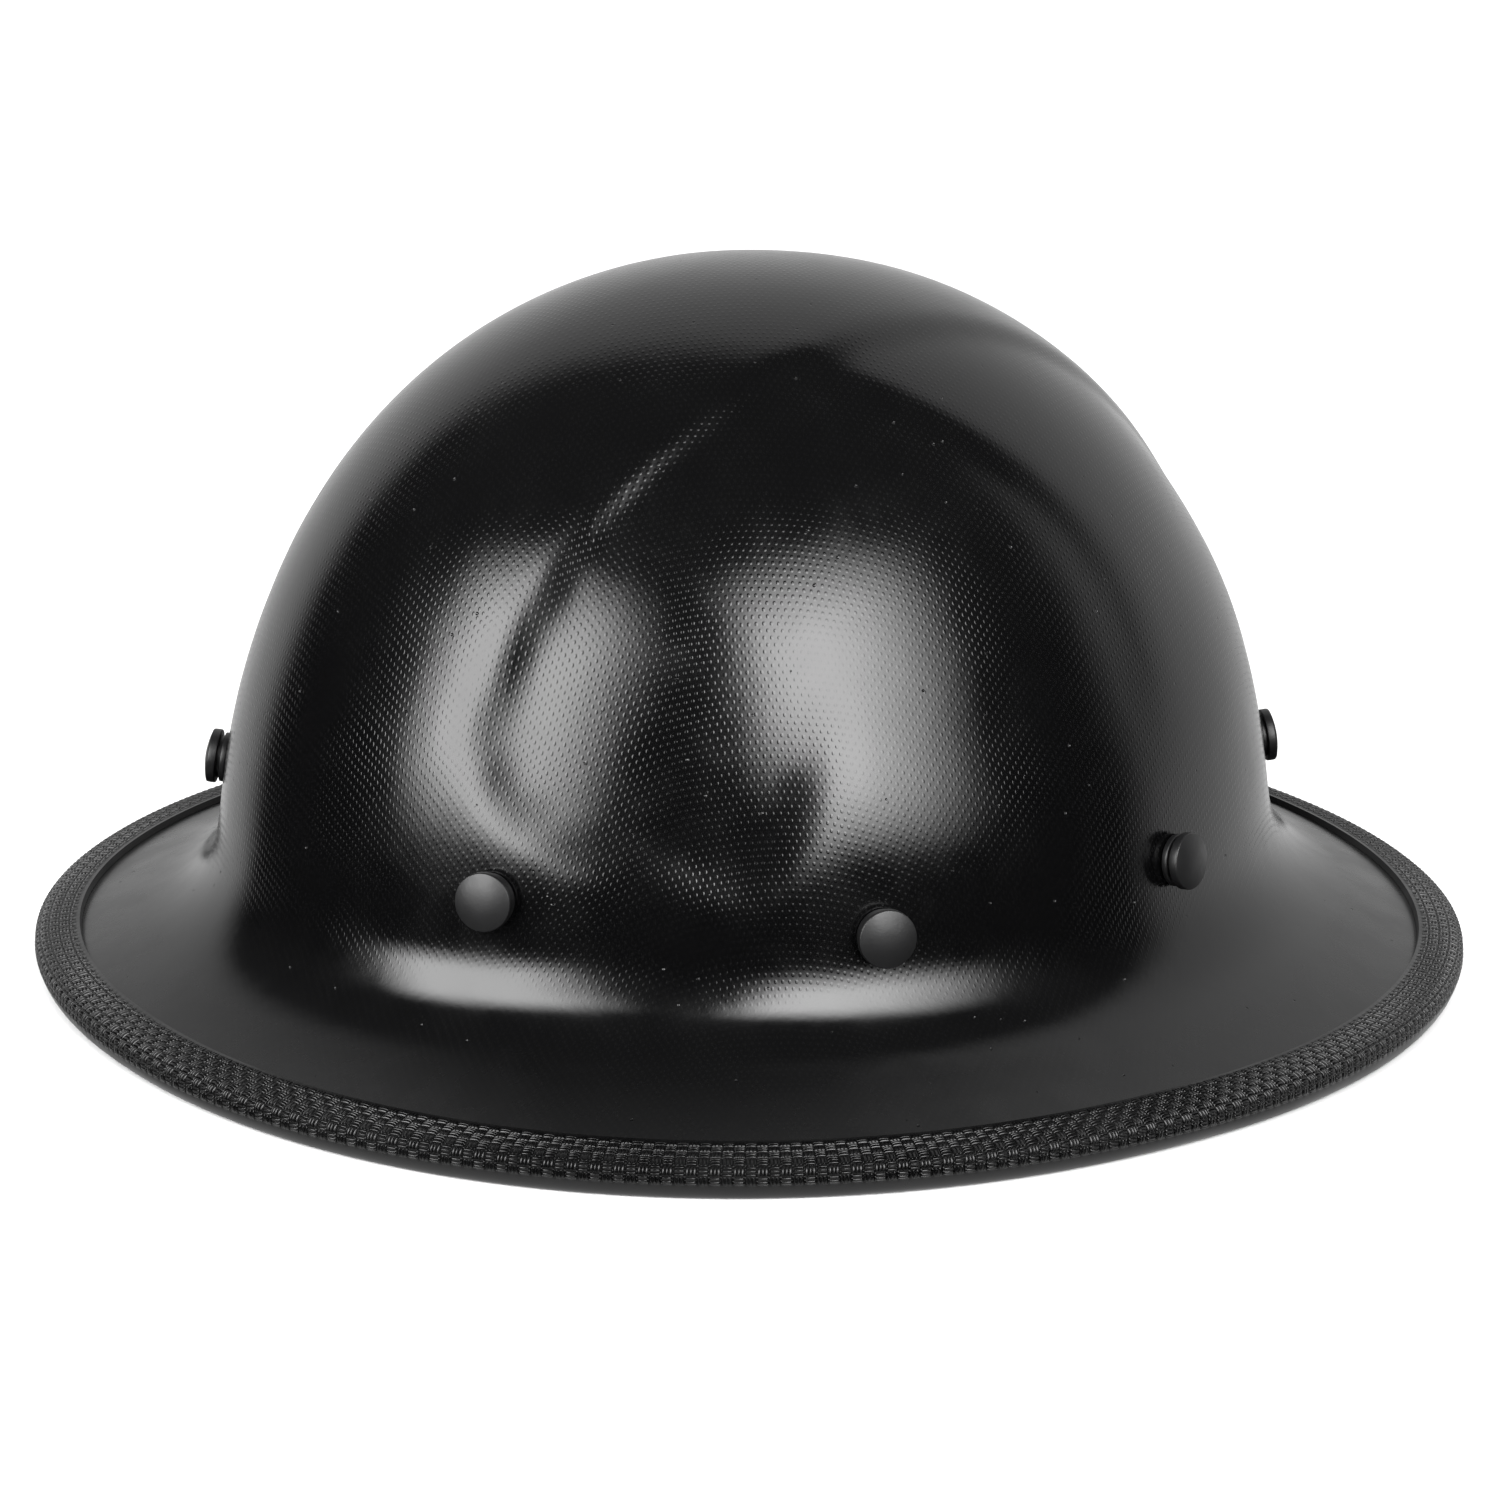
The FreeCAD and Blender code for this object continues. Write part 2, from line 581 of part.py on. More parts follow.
def make_key():
    """Flat key: a tongue for the socket and a wide head with the webbing's slot."""
    foot = -SOCKET_DOWN + SOCKET_WALL + KEY_GAP
    top = SOCKET_UP + PADDLE_LIFT
    tongue = block(-KEY_WIDTH / 2, KEY_WIDTH / 2, foot, top + OVERCUT, KEY_IN, KEY_Z)
    half = PADDLE_WIDTH / 2
    head = slab(-half, half, top, top + PADDLE_HEIGHT, KEY_IN, KEY_Z, PADDLE_CORNER)
    slot_half = STRAP_WIDTH / 2 + STRAP_SLOT_SPARE
    slot_y = top + STRAP_SLOT_SHARE * PADDLE_HEIGHT
    slot = slab(-slot_half, slot_half, slot_y, slot_y + STRAP_SLOT_HEIGHT,
                KEY_IN - OVERCUT, KEY_Z + OVERCUT, STRAP_SLOT_CORNER)
    return tongue.fuse(head).removeSplitter().cut(slot)


# ---------------------------------------------------------------- webbing and crown pad
STRAP_PAIRS = ((1, 6), (2, 5), (0, 7), (3, 4))     # lowest first
PADDLE_WIDTH = STRAP_WIDTH + 2 * (STRAP_SLOT_SPARE + PADDLE_EDGE)
LINER_INSIDE = EDGE_Z + CROWN_HEIGHT - WALL - LINER_GAP - LINER_THICKNESS
STRAP_APEX = (LINER_INSIDE - STRAP_HEADROOM - STRAP_THICKNESS / 2
              - (len(STRAP_PAIRS) - 1) * STRAP_STACK)


def strap_ends(index):
    """Centre of a strap on its key, low and high, and the key's side direction."""
    frame = FRAMES[index]
    depth = KEY_IN - STRAP_OFF_KEY - STRAP_THICKNESS / 2
    low = SOCKET_UP + STRAP_LOW
    return (frame.multVec(Vec(0, low, depth)), frame.multVec(Vec(0, low + STRAP_STRAIGHT, depth)),
            frame.Rotation.multVec(Vec(1, 0, 0)))


def strap_path(layer, first, second):
    """Centres and width directions of one strap, from key to key over the head."""
    apex = STRAP_APEX + layer * STRAP_STACK
    low_a, high_a, side_a = strap_ends(first)
    low_b, high_b, side_b = strap_ends(second)
    run = Vec(high_b.x - high_a.x, high_b.y - high_a.y, 0)
    across = ABOUT_Z.cross(run).normalize()
    side_a = side_a if side_a.dot(across) > 0 else side_a * -1
    side_b = side_b if side_b.dot(across) > 0 else side_b * -1
    path = [(low_a, side_a), (high_a, side_a)]
    for end, side in ((high_a, side_a), (high_b, side_b)):
        half = []
        for k in range(1, STRAP_STEPS + 1):
            share = math.cos(math.pi / 2 * k / STRAP_STEPS) if k < STRAP_STEPS else 0.0
            middle = (high_a + high_b) * 0.5
            plan = Vec(middle.x + (end.x - middle.x) * share, middle.y + (end.y - middle.y) * share, 0)
            reach = min(plan.Length / math.hypot(end.x, end.y), 1.0)
            rise = 1 - reach ** STRAP_CURVE
            blend = smooth((share - STRAP_TWIST) / (1 - STRAP_TWIST))
            width = (across * (1 - blend) + side * blend).normalize()
            half.append((Vec(plan.x, plan.y, end.z + (apex - end.z) * rise), width))
        path += half if end is high_a else half[-2::-1]
    return path + [(high_b, side_b), (low_b, side_b)]


def make_strap(layer, first, second):
    """Webbing strap: a flat section carried along its path."""
    path = strap_path(layer, first, second)
    wires = []
    for k, (centre, width) in enumerate(path):
        along = (path[min(k + 1, len(path) - 1)][0] - path[max(k - 1, 0)][0]).normalize()
        thick = along.cross(width).normalize()
        wide = thick.cross(along) * (STRAP_WIDTH / 2)
        thick = thick * (STRAP_THICKNESS / 2)
        corners = [centre + wide + thick, centre - wide + thick,
                   centre - wide - thick, centre + wide - thick]
        wires.append(Part.makePolygon(corners + corners[:1]))
    return Part.makeLoft(wires, True, True)


def make_crown_pad():
    """Round pad under the straps' crossing."""
    steepest = 0.0
    for first, second in STRAP_PAIRS:
        for index in (first, second):
            end = strap_ends(index)[1]
            steepest = max(steepest, (STRAP_APEX - end.z) / math.hypot(end.x, end.y) ** STRAP_CURVE)
    top_z = STRAP_APEX - STRAP_THICKNESS / 2 - CROWN_PAD_GAP
    spread = [CROWN_PAD_RADIUS * k / CROWN_PAD_STEPS for k in range(CROWN_PAD_STEPS + 1)]
    top = [(r, top_z - steepest * r ** STRAP_CURVE) for r in spread]
    return turned(top + [(r, z - CROWN_PAD) for r, z in reversed(top)])


# ---------------------------------------------------------------- headband
def arc_slab(radii, heights, angles, centre_y, rear=True):
    """Sector of a ring about the vertical axis at centre_y; angles run from the rear or front."""
    sign = 1 if rear else -1
    start = math.radians(angles[0])
    away = Vec(math.sin(start), sign * math.cos(start), 0)
    centre = Vec(0, centre_y, 0)
    corners = [centre + away * r + ABOUT_Z * z for r, z in
               ((radii[0], heights[0]), (radii[1], heights[0]),
                (radii[1], heights[1]), (radii[0], heights[1]))]
    face = Part.Face(Part.makePolygon(corners + corners[:1]))
    return face.revolve(centre, ABOUT_Z * -sign, angles[1] - angles[0])


def oval(radius, z0, z1):
    """Solid with the headband's plan: two half rounds and straight sides."""
    front, rear = Vec(0, FRONT_Y, z0), Vec(0, REAR_Y, z0)
    side, ahead = Vec(radius, 0, 0), Vec(0, radius, 0)
    edges = [Part.makeLine(front + side, rear + side),
             Part.Arc(rear + side, rear + ahead, rear - side).toShape(),
             Part.makeLine(rear - side, front - side),
             Part.Arc(front - side, front - ahead, front + side).toShape()]
    return Part.Face(Part.Wire(edges)).extrude(Vec(0, 0, z1 - z0))


def band_hit(frame):
    """Where the line inwards from a button meets the headband's outside, and its direction."""
    start = frame.Base
    out = frame.Rotation.multVec(Vec(0, 0, 1))
    out = Vec(out.x, out.y, 0).normalize()
    centre_y = FRONT_Y if start.y < FRONT_Y else REAR_Y
    if FRONT_Y <= start.y <= REAR_Y:
        centre_y = start.y
    radius = HEAD_HALF_WIDTH + BAND_THICKNESS
    rel = Vec(start.x, start.y - centre_y, 0)
    along = rel.dot(out)
    travel = along - math.sqrt(along ** 2 - rel.dot(rel) + radius ** 2)
    hit = start - out * travel
    return Vec(hit.x, hit.y, STUD_Z), out


STUD_Z = BAND_BOTTOM + BAND_HEIGHT - STUD_DROP
HANGERS = [k for k in range(len(FRAMES)) if BUTTON_ANGLES[k % len(BUTTON_ANGLES)] in HANGER_ANGLES]
STUD_END = STUD_STANDOFF + ARM_THICKNESS + STUD_CAP - STUD_PROUD + 2 * MERGE


def make_headband():
    """Band open behind the head, with studs for the arms and slots along its length."""
    z0, z1 = BAND_BOTTOM, BAND_BOTTOM + BAND_HEIGHT
    inside = oval(HEAD_HALF_WIDTH, z0 - OVERCUT, z1 + OVERCUT)
    body = oval(HEAD_HALF_WIDTH + BAND_THICKNESS, z0, z1).cut(inside)
    reach = 3 * HEAD_HALF_WIDTH
    gap = math.radians(BAND_OPENING)
    centre = Vec(0, REAR_Y, z0 - OVERCUT)
    left = centre + Vec(math.sin(gap), math.cos(gap), 0) * reach
    right = centre + Vec(-math.sin(gap), math.cos(gap), 0) * reach
    far = Vec(0, reach, 0)
    wedge = Part.Face(Part.makePolygon([centre, left, left + far, right + far, right, centre]))
    cuts = [wedge.extrude(Vec(0, 0, BAND_HEIGHT + 2 * OVERCUT))]
    middle = BAND_BOTTOM + BAND_SLOT_RISE
    for angle in BAND_SLOT_ANGLES:
        slot = slab(-BAND_SLOT_HALF, BAND_SLOT_HALF, -BAND_SLOT_HALF_HEIGHT, BAND_SLOT_HALF_HEIGHT,
                    HEAD_HALF_WIDTH - OVERCUT, HEAD_HALF_WIDTH + BAND_THICKNESS + OVERCUT, BAND_SLOT_CORNER)
        slot.rotate(Vec(0, 0, 0), Vec(1, 0, 0), 90)
        slot.rotate(Vec(0, 0, 0), ABOUT_Z, angle)
        slot.translate(Vec(0, FRONT_Y, middle))
        cuts.append(slot)
    body = body.cut(cuts)
    studs = []
    for index in HANGERS:
        hit, out = band_hit(FRAMES[index])
        root = hit - out * (BAND_THICKNESS / 2)
        studs.append(Part.makeCylinder(STUD_RADIUS, BAND_THICKNESS / 2 + STUD_END, root, out))
    return body.fuse(studs)


def make_stud_cap(index):
    """Snap cap that holds an arm on its stud."""
    hit, out = band_hit(FRAMES[index])
    base = hit + out * (STUD_STANDOFF + ARM_THICKNESS + MERGE)
    cap = Part.makeCylinder(STUD_CAP_RADIUS, STUD_CAP, base, out)
    return cap.cut(Part.makeCylinder(STUD_RADIUS + STUD_GAP, STUD_CAP - STUD_PROUD + 2 * MERGE,
                                      base - out * MERGE, out))


def make_arm(index):
    """Bent arm from a socket down to the headband, with its snap peg and stud hole."""
    frame = FRAMES[index]
    hit, out = band_hit(frame)
    across = out.cross(ABOUT_Z)
    depth = SOCKET_IN - ARM_GAP - ARM_THICKNESS / 2
    inner = hit + out * (STUD_STANDOFF + ARM_THICKNESS / 2)
    route = [frame.multVec(Vec(0, ARM_TOP_Y, depth)), frame.multVec(Vec(0, ARM_LOW_Y, depth)),
             Vec(inner.x, inner.y, STUD_Z - ARM_DROP), Vec(inner.x, inner.y, STUD_Z + ARM_TOP_RISE)]
    flat = []
    for point in route:
        rel = point - hit
        flat.append(Vec(rel.dot(out), point.z, 0))
    wire = Part.makePolygon(flat)
    outline = wire.makeOffset2D(ARM_THICKNESS / 2, 0, False, False, False)
    plate = Part.Face(Part.Wire(outline.Edges)).extrude(Vec(0, 0, ARM_WIDTH))
    plate.translate(Vec(0, 0, -ARM_WIDTH / 2))
    matrix = FreeCAD.Matrix(out.x, 0, across.x, hit.x, out.y, 0, across.y, hit.y,
                            0, 1, 0, 0, 0, 0, 0, 1)
    plate = put(plate, FreeCAD.Placement(matrix))
    peg = put(Part.makeCylinder(ARM_PEG_RADIUS, SOCKET_WALL + ARM_THICKNESS / 2,
                                Vec(0, ARM_PEG_Y, depth)), frame)
    plate = plate.fuse(peg)
    hole = Part.makeCylinder(STUD_RADIUS + STUD_GAP, 3 * ARM_THICKNESS, hit + out * MERGE, out)
    return plate.cut(hole)


def make_brow_pad():
    """Sweatband on the inside of the headband's front."""
    return arc_slab((HEAD_HALF_WIDTH - BROW_GAP - BROW_PAD, HEAD_HALF_WIDTH - BROW_GAP),
                    (BAND_BOTTOM - BROW_EXTRA / 2, BAND_BOTTOM + BAND_HEIGHT + BROW_EXTRA / 2),
                    (-BROW_HALF_ANGLE, BROW_HALF_ANGLE), FRONT_Y, rear=False)


def make_guide(side):
    """Loop on the headband's rear end in which a nape strap slides."""
    angles = sorted((side * (GUIDE_ANGLE - GUIDE_HALF_ANGLE), side * (GUIDE_ANGLE + GUIDE_HALF_ANGLE)))
    r0, r1 = CHANNEL[0], HEAD_HALF_WIDTH + BAND_THICKNESS + GUIDE_GAP
    z0, z1 = BAND_BOTTOM - GUIDE_GAP, BAND_BOTTOM + BAND_HEIGHT + GUIDE_GAP
    outside = arc_slab((r0 - GUIDE_WALL, r1 + GUIDE_WALL), (z0 - GUIDE_WALL, z1 + GUIDE_WALL),
                       angles, REAR_Y)
    return outside.cut(arc_slab((r0, r1), (z0, z1), (angles[0] - 1, angles[1] + 1), REAR_Y))


# ---------------------------------------------------------------- ratchet adjuster
def rear_frame(angle_deg, height):
    """Placement on the rear arc's axis: local Z runs outwards from it, local Y upwards."""
    a = math.radians(angle_deg)
    out = Vec(math.sin(a), math.cos(a), 0)
    side = ABOUT_Z.cross(out)
    matrix = FreeCAD.Matrix(side.x, 0, out.x, 0, side.y, 0, out.y, REAR_Y,
                            0, 1, 0, height, 0, 0, 0, 1)
    return FreeCAD.Placement(matrix)


def rack_tooth(layer, angle_deg, way):
    """One tooth on the upper (way 1) or lower (way -1) edge of a nape strap's slot."""
    slope = math.tan(math.radians(PRESSURE_ANGLE))
    half = (math.pi * MODULE / 2 - BACKLASH) / 2
    tip, root = ADDENDUM, DEDENDUM
    outline = [(-half + tip * slope, PITCH_RADIUS - tip), (half - tip * slope, PITCH_RADIUS - tip),
               (half + root * slope, PITCH_RADIUS + root),
               (half + root * slope, PITCH_RADIUS + root + TOOTH_ROOT),
               (-half - root * slope, PITCH_RADIUS + root + TOOTH_ROOT),
               (-half - root * slope, PITCH_RADIUS + root)]
    points = [Vec(x, way * y, layer[0] + TOUCH) for x, y in outline]
    face = Part.Face(Part.makePolygon(points + points[:1]))
    solid = face.extrude(Vec(0, 0, layer[1] - layer[0] - SEAT_GAP))
    return put(solid, rear_frame(angle_deg, RATCHET_Z))


def make_nape_strap(layer, side):
    """Curved strap with a toothed slot; side 1 comes from the wearer's left, -1 from the right."""
    heights = (RATCHET_Z - NAPE_HEIGHT / 2, RATCHET_Z + NAPE_HEIGHT / 2)
    angles = sorted((side * NAPE_OUTER_END, -side * NAPE_INNER_END))
    body = arc_slab(layer, heights, angles, REAR_Y)
    toothed = PITCH_RADIUS + DEDENDUM + SEAT_GAP
    clear = PITCH_RADIUS + ADDENDUM + TOOTH_SPARE
    slot = (RATCHET_Z - (toothed if side < 0 else clear), RATCHET_Z + (clear if side < 0 else toothed))
    body = body.cut(arc_slab((layer[0] - OVERCUT, layer[1] + OVERCUT), slot,
                             (-NAPE_SLOT_HALF, NAPE_SLOT_HALF), REAR_Y))
    middle = (layer[0] + layer[1]) / 2
    pitch = math.degrees(math.pi * MODULE / middle)
    count = int(NAPE_SLOT_HALF / pitch - 0.5)
    teeth = [rack_tooth(layer, (k + 0.5) * pitch, side) for k in range(-count, count)]
    return body.fuse(teeth)


def involute_half_angle(radius):
    """Half thickness of a pinion tooth at a radius, in radians."""
    base = PITCH_RADIUS * math.cos(math.radians(PRESSURE_ANGLE))
    pressure = math.radians(PRESSURE_ANGLE)
    here = math.acos(min(1.0, base / radius))
    turn = (math.tan(pressure) - pressure) - (math.tan(here) - here)
    return math.pi / (2 * PINION_TEETH) + turn


def make_pinion():
    """Pinion with its shaft outwards and its pivot inwards, on local Z."""
    base = PITCH_RADIUS * math.cos(math.radians(PRESSURE_ANGLE))
    tip, root = PITCH_RADIUS + ADDENDUM, PITCH_RADIUS - DEDENDUM
    flank = [(root, involute_half_angle(base))]
    flank += [(base + (tip - base) * k / 4, involute_half_angle(base + (tip - base) * k / 4))
              for k in range(5)]
    points = []
    for tooth in range(PINION_TEETH):
        centre = math.pi / 2 + 2 * math.pi * tooth / PINION_TEETH
        for radius, half in flank:
            points.append(Vec(radius * math.cos(centre - half), radius * math.sin(centre - half), 0))
        for radius, half in reversed(flank):
            points.append(Vec(radius * math.cos(centre + half), radius * math.sin(centre + half), 0))
    gear = Part.Face(Part.makePolygon(points + points[:1])).extrude(Vec(0, 0, PINION_OUT - PINION_IN))
    gear.translate(Vec(0, 0, PINION_IN))
    body = gear.fuse([rod(SHAFT_RADIUS, PINION_OUT - MERGE, SHAFT_END),
                      rod(PIVOT_RADIUS, CHANNEL[0] - HOUSING_WALL + MERGE, PINION_IN + MERGE)])
    bore = rod(SCREW_RADIUS + TOUCH, SHAFT_END - SCREW_LENGTH - MERGE, SHAFT_END + OVERCUT)
    return put(body.cut(bore), ADJUSTER)


PINION_IN = CHANNEL[0] + PINION_IN_GAP
PINION_OUT = CHANNEL[1] - PINION_OUT_GAP
SEAT_Z = CHANNEL[1] + HOUSING_WALL + SEAT_RISE
KNOB_Z = SEAT_Z + KNOB_LIFT
RECESS_Z = SEAT_Z + DETENT_HEIGHT + RECESS_GAP
SHAFT_END = KNOB_Z + KNOB_DEPTH - SHAFT_SHORT
ADJUSTER = rear_frame(0, RATCHET_Z)
WALL_Z = (RATCHET_Z + NAPE_HEIGHT / 2 + CHANNEL_GAP,
          RATCHET_Z + NAPE_HEIGHT / 2 + CHANNEL_GAP + HOUSING_RIM)
HOUSING_Z = (2 * RATCHET_Z - WALL_Z[1], WALL_Z[1])
SCREW_PLACES = [(side * COVER_SCREW_ANGLE, RATCHET_Z + up * (WALL_Z[0] - RATCHET_Z + HOUSING_RIM / 2))
                for side in (1, -1) for up in (1, -1)]


def make_ratchet_base():
    """Inner half of the housing: curved plate with an upper and a lower wall."""
    wide = (-RATCHET_HALF_ANGLE, RATCHET_HALF_ANGLE)
    body = arc_slab((CHANNEL[0] - HOUSING_WALL, CHANNEL[0]), HOUSING_Z, wide, REAR_Y)
    for low, high in (WALL_Z, (HOUSING_Z[0], 2 * RATCHET_Z - WALL_Z[0])):
        body = body.fuse(arc_slab((CHANNEL[0] - MERGE, CHANNEL[1]), (low, high), wide, REAR_Y))
    pivot = rod(PIVOT_RADIUS + RUNNING_GAP, CHANNEL[0] - 3 * HOUSING_WALL, CHANNEL[0] + OVERCUT)
    cuts = [put(pivot, ADJUSTER)]
    cuts += [put(rod(SCREW_RADIUS + SEAT_GAP, CHANNEL[0] + SEAT_GAP, CHANNEL[1] + OVERCUT), rear_frame(a, z))
             for a, z in SCREW_PLACES]
    return body.cut(cuts)


def make_ratchet_cover():
    """Outer half of the housing, with a flat seat for the knob."""
    wide = (-RATCHET_HALF_ANGLE, RATCHET_HALF_ANGLE)
    body = arc_slab((CHANNEL[1] + TOUCH, CHANNEL[1] + HOUSING_WALL), HOUSING_Z, wide, REAR_Y)
    seat = put(rod(SEAT_RADIUS, CHANNEL[1] - HOUSING_WALL, SEAT_Z), ADJUSTER)
    core = arc_slab((CHANNEL[1] - 3 * HOUSING_WALL, CHANNEL[1] + TOUCH), (0, 2 * RATCHET_Z),
                    (-2 * RATCHET_HALF_ANGLE, 2 * RATCHET_HALF_ANGLE), REAR_Y)
    body = body.fuse(seat.cut(core))
    cuts = [put(rod(SHAFT_RADIUS + RUNNING_GAP, CHANNEL[1] - HOUSING_WALL, SEAT_Z + OVERCUT), ADJUSTER)]
    cuts += [put(rod(SCREW_RADIUS + SEAT_GAP, CHANNEL[1] - OVERCUT, SEAT_Z + OVERCUT), rear_frame(a, z))
             for a, z in SCREW_PLACES]
    return body.cut(cuts)


def make_cover_screw(angle, height):
    """Small pan-head screw through the cover."""
    under = CHANNEL[1] + HOUSING_WALL + SEAT_GAP
    shank = rod(SCREW_RADIUS, CHANNEL[0] + 2 * MERGE, under + MERGE)
    head = rod(COVER_HEAD, under, under + COVER_CROWN)
    slot = block(-COVER_HEAD - OVERCUT, COVER_HEAD + OVERCUT, -COVER_SLOT_HALF, COVER_SLOT_HALF,
                 under + COVER_CROWN / 2, under + COVER_CROWN + OVERCUT)
    return put(shank.fuse(head).cut(slot), rear_frame(angle, height))


def make_detent_ring():
    """Toothed ring on the cover's seat."""
    body = make_washer(DETENT_OUTER, DETENT_INNER, SEAT_Z + TOUCH, SEAT_Z + DETENT_HEIGHT)
    teeth = []
    for k in range(DETENT_COUNT):
        foot = DETENT_INNER + 2 * MERGE
        outline = [Vec(foot, -DETENT_HALF_WIDTH, 0), Vec(DETENT_TIP, 0, 0), Vec(foot, DETENT_HALF_WIDTH, 0)]
        tooth = Part.Face(Part.makePolygon(outline + outline[:1])).extrude(Vec(0, 0, DETENT_HEIGHT - TOUCH))
        tooth.translate(Vec(0, 0, SEAT_Z + TOUCH))
        tooth.rotate(Vec(0, 0, 0), ABOUT_Z, 360 * k / DETENT_COUNT)
        teeth.append(tooth)
    return put(body.fuse(teeth), ADJUSTER)


def make_click_spring():
    """Two-armed spring under the knob whose tips run over the detent ring."""
    z0, z1 = KNOB_Z + MERGE, RECESS_Z - SEAT_GAP
    body = rod(SPRING_HUB, z0, z1)
    for turn in (0, 180):
        arm = block(SPRING_HUB - OVERCUT, SPRING_REACH - SPRING_TIP,
                    -SPRING_WIDTH / 2, SPRING_WIDTH / 2, z0, z1)
        tip = Part.makeCylinder(SPRING_TIP, z1 - z0, Vec(SPRING_REACH - SPRING_TIP, 0, z0))
        for piece in (arm, tip):
            piece.rotate(Vec(0, 0, 0), ABOUT_Z, turn + 180 / DETENT_COUNT)
            body = body.fuse(piece)
    return put(body.cut(rod(SHAFT_RADIUS + SEAT_GAP, z0 - OVERCUT, z1 + OVERCUT)), ADJUSTER)


def make_knob():
    """Ribbed adjuster knob with a recess for the click parts and a bore for the shaft."""
    top = KNOB_Z + KNOB_DEPTH
    profile = [(0, KNOB_Z), (KNOB_RADIUS - KNOB_EASE, KNOB_Z), (KNOB_RADIUS, KNOB_Z + KNOB_EASE),
               (KNOB_RADIUS, top - KNOB_ROUND), (KNOB_RADIUS - KNOB_ROUND, top), (0, top)]
    body = turned(profile)
    head = SHAFT_END + SCREW_WEB
    cuts = [rod(DETENT_OUTER + RECESS_GAP, KNOB_Z - OVERCUT, RECESS_Z),
            rod(SHAFT_RADIUS + TOUCH, KNOB_Z - OVERCUT, SHAFT_END),
            rod(SCREW_RADIUS + MERGE, KNOB_Z, top + OVERCUT),
            rod(SCREW_HEAD + SCREW_HEAD_GAP, head, top + OVERCUT)]
    for k in range(GRIP_COUNT):
        groove = rod(GRIP_RADIUS, KNOB_Z - OVERCUT, top + OVERCUT)
        groove.translate(Vec(KNOB_RADIUS + GRIP_RADIUS / 2, 0, 0))
        groove.rotate(Vec(0, 0, 0), ABOUT_Z, 360 * k / GRIP_COUNT)
        cuts.append(groove)
    return put(body.cut(cuts), ADJUSTER)


def make_knob_screw():
    """Pan-head screw that holds the knob on the shaft."""
    under = SHAFT_END + SCREW_WEB + TOUCH
    shank = rod(SCREW_RADIUS, SHAFT_END - SCREW_LENGTH, under + MERGE)
    head = rod(SCREW_HEAD, under, under + SCREW_CROWN)
    slot = block(-SCREW_HEAD - OVERCUT, SCREW_HEAD + OVERCUT, -SCREW_SLOT_HALF, SCREW_SLOT_HALF,
                 under + SCREW_CROWN / 2, under + SCREW_CROWN + OVERCUT)
    return put(shank.fuse(head).cut(slot), ADJUSTER)


def make_nape_pad():
    """Cushion on the inside of the ratchet housing."""
    outside = CHANNEL[0] - HOUSING_WALL - SEAT_GAP
    return arc_slab((outside - NAPE_PAD, outside), (BAND_BOTTOM, BAND_BOTTOM + BAND_HEIGHT),
                    (-NAPE_PAD_HALF_ANGLE, NAPE_PAD_HALF_ANGLE), REAR_Y)


# ---------------------------------------------------------------- the whole helmet
def group(shapes):
    """Identical pieces as separate solids of one node."""
    return Part.makeCompound(list(shapes))


def build():
    """Makes every piece."""
    keep("shell", make_shell())
    keep("edge_trim", make_trim())
    keep("impact_liner", make_liner())
    button = make_button()
    flange = make_washer(FLANGE_RADIUS, SHANK_RADIUS + SHANK_GAP, FLANGE_LIFT, FLANGE)
    ring = make_washer(RING_RADIUS, SHANK_RADIUS + TOUCH, RING_Z - RING, RING_Z - TOUCH)
    keep("buttons", group(put(button, frame) for frame in FRAMES))
    keep("button_flanges", group(put(flange, frame) for frame in FRAMES))
    keep("retaining_rings", group(put(ring, frame) for frame in FRAMES))
    key = make_key()
    sides = ["left"] * len(BUTTON_ANGLES) + ["right"] * len(BUTTON_ANGLES)
    places = ["front", "fore_side", "aft_side", "rear"] * 2
    for index, (side, spot) in enumerate(zip(sides, places)):
        keep("socket_%s_%s" % (side, spot), put(make_socket(index in HANGERS), FRAMES[index]))
        keep("strap_key_%s_%s" % (side, spot), put(key, FRAMES[index]))
    for index in HANGERS:
        keep("band_arm_%s_%s" % (sides[index], places[index]), make_arm(index))
    for layer, pair in enumerate(STRAP_PAIRS):
        keep("crown_strap_%d" % (layer + 1), make_strap(layer, *pair))
    keep("crown_pad", make_crown_pad())
    keep("headband", make_headband())
    keep("stud_caps", group(make_stud_cap(index) for index in HANGERS))
    keep("brow_pad", make_brow_pad())
    keep("nape_strap_left", make_nape_strap(LEFT_LAYER, 1))
    keep("nape_strap_right", make_nape_strap(RIGHT_LAYER, -1))
    keep("band_guide_left", make_guide(1))
    keep("band_guide_right", make_guide(-1))
    keep("ratchet_base", make_ratchet_base())
    keep("ratchet_cover", make_ratchet_cover())
    keep("cover_screws", group(make_cover_screw(*spot) for spot in SCREW_PLACES))
    keep("detent_ring", make_detent_ring())
    keep("click_spring", make_click_spring())
    keep("pinion", make_pinion())
    keep("knob", make_knob())
    keep("knob_screw", make_knob_screw())
    keep("nape_pad", make_nape_pad())


build()
os.makedirs("parts", exist_ok=True)
for name, shape in PARTS.items():
    shape.exportStep("parts/%s.step" % name)
    print("%-28s solids %d valid %s volume %.0f" % (name, len(shape.Solids), shape.isValid(), shape.Volume))
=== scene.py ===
"""Full-brim fire helmet: the looks built round its fixed frame.

Metres, in the frame's own axes: +Z up, the wearer faces -Y, the wearer's left is +X, and the
helmet stands on its edge trim at Z = 0.  The laminate shell, the edge trim, the liner, the buttons,
the webbing and the pads are modelled here; the moulded nylon and steel pieces are the frame's own.
"""
import json
import logging
import math
from dataclasses import dataclass
from enum import Enum

import bpy
import numpy as np
from mathutils import Matrix, Vector


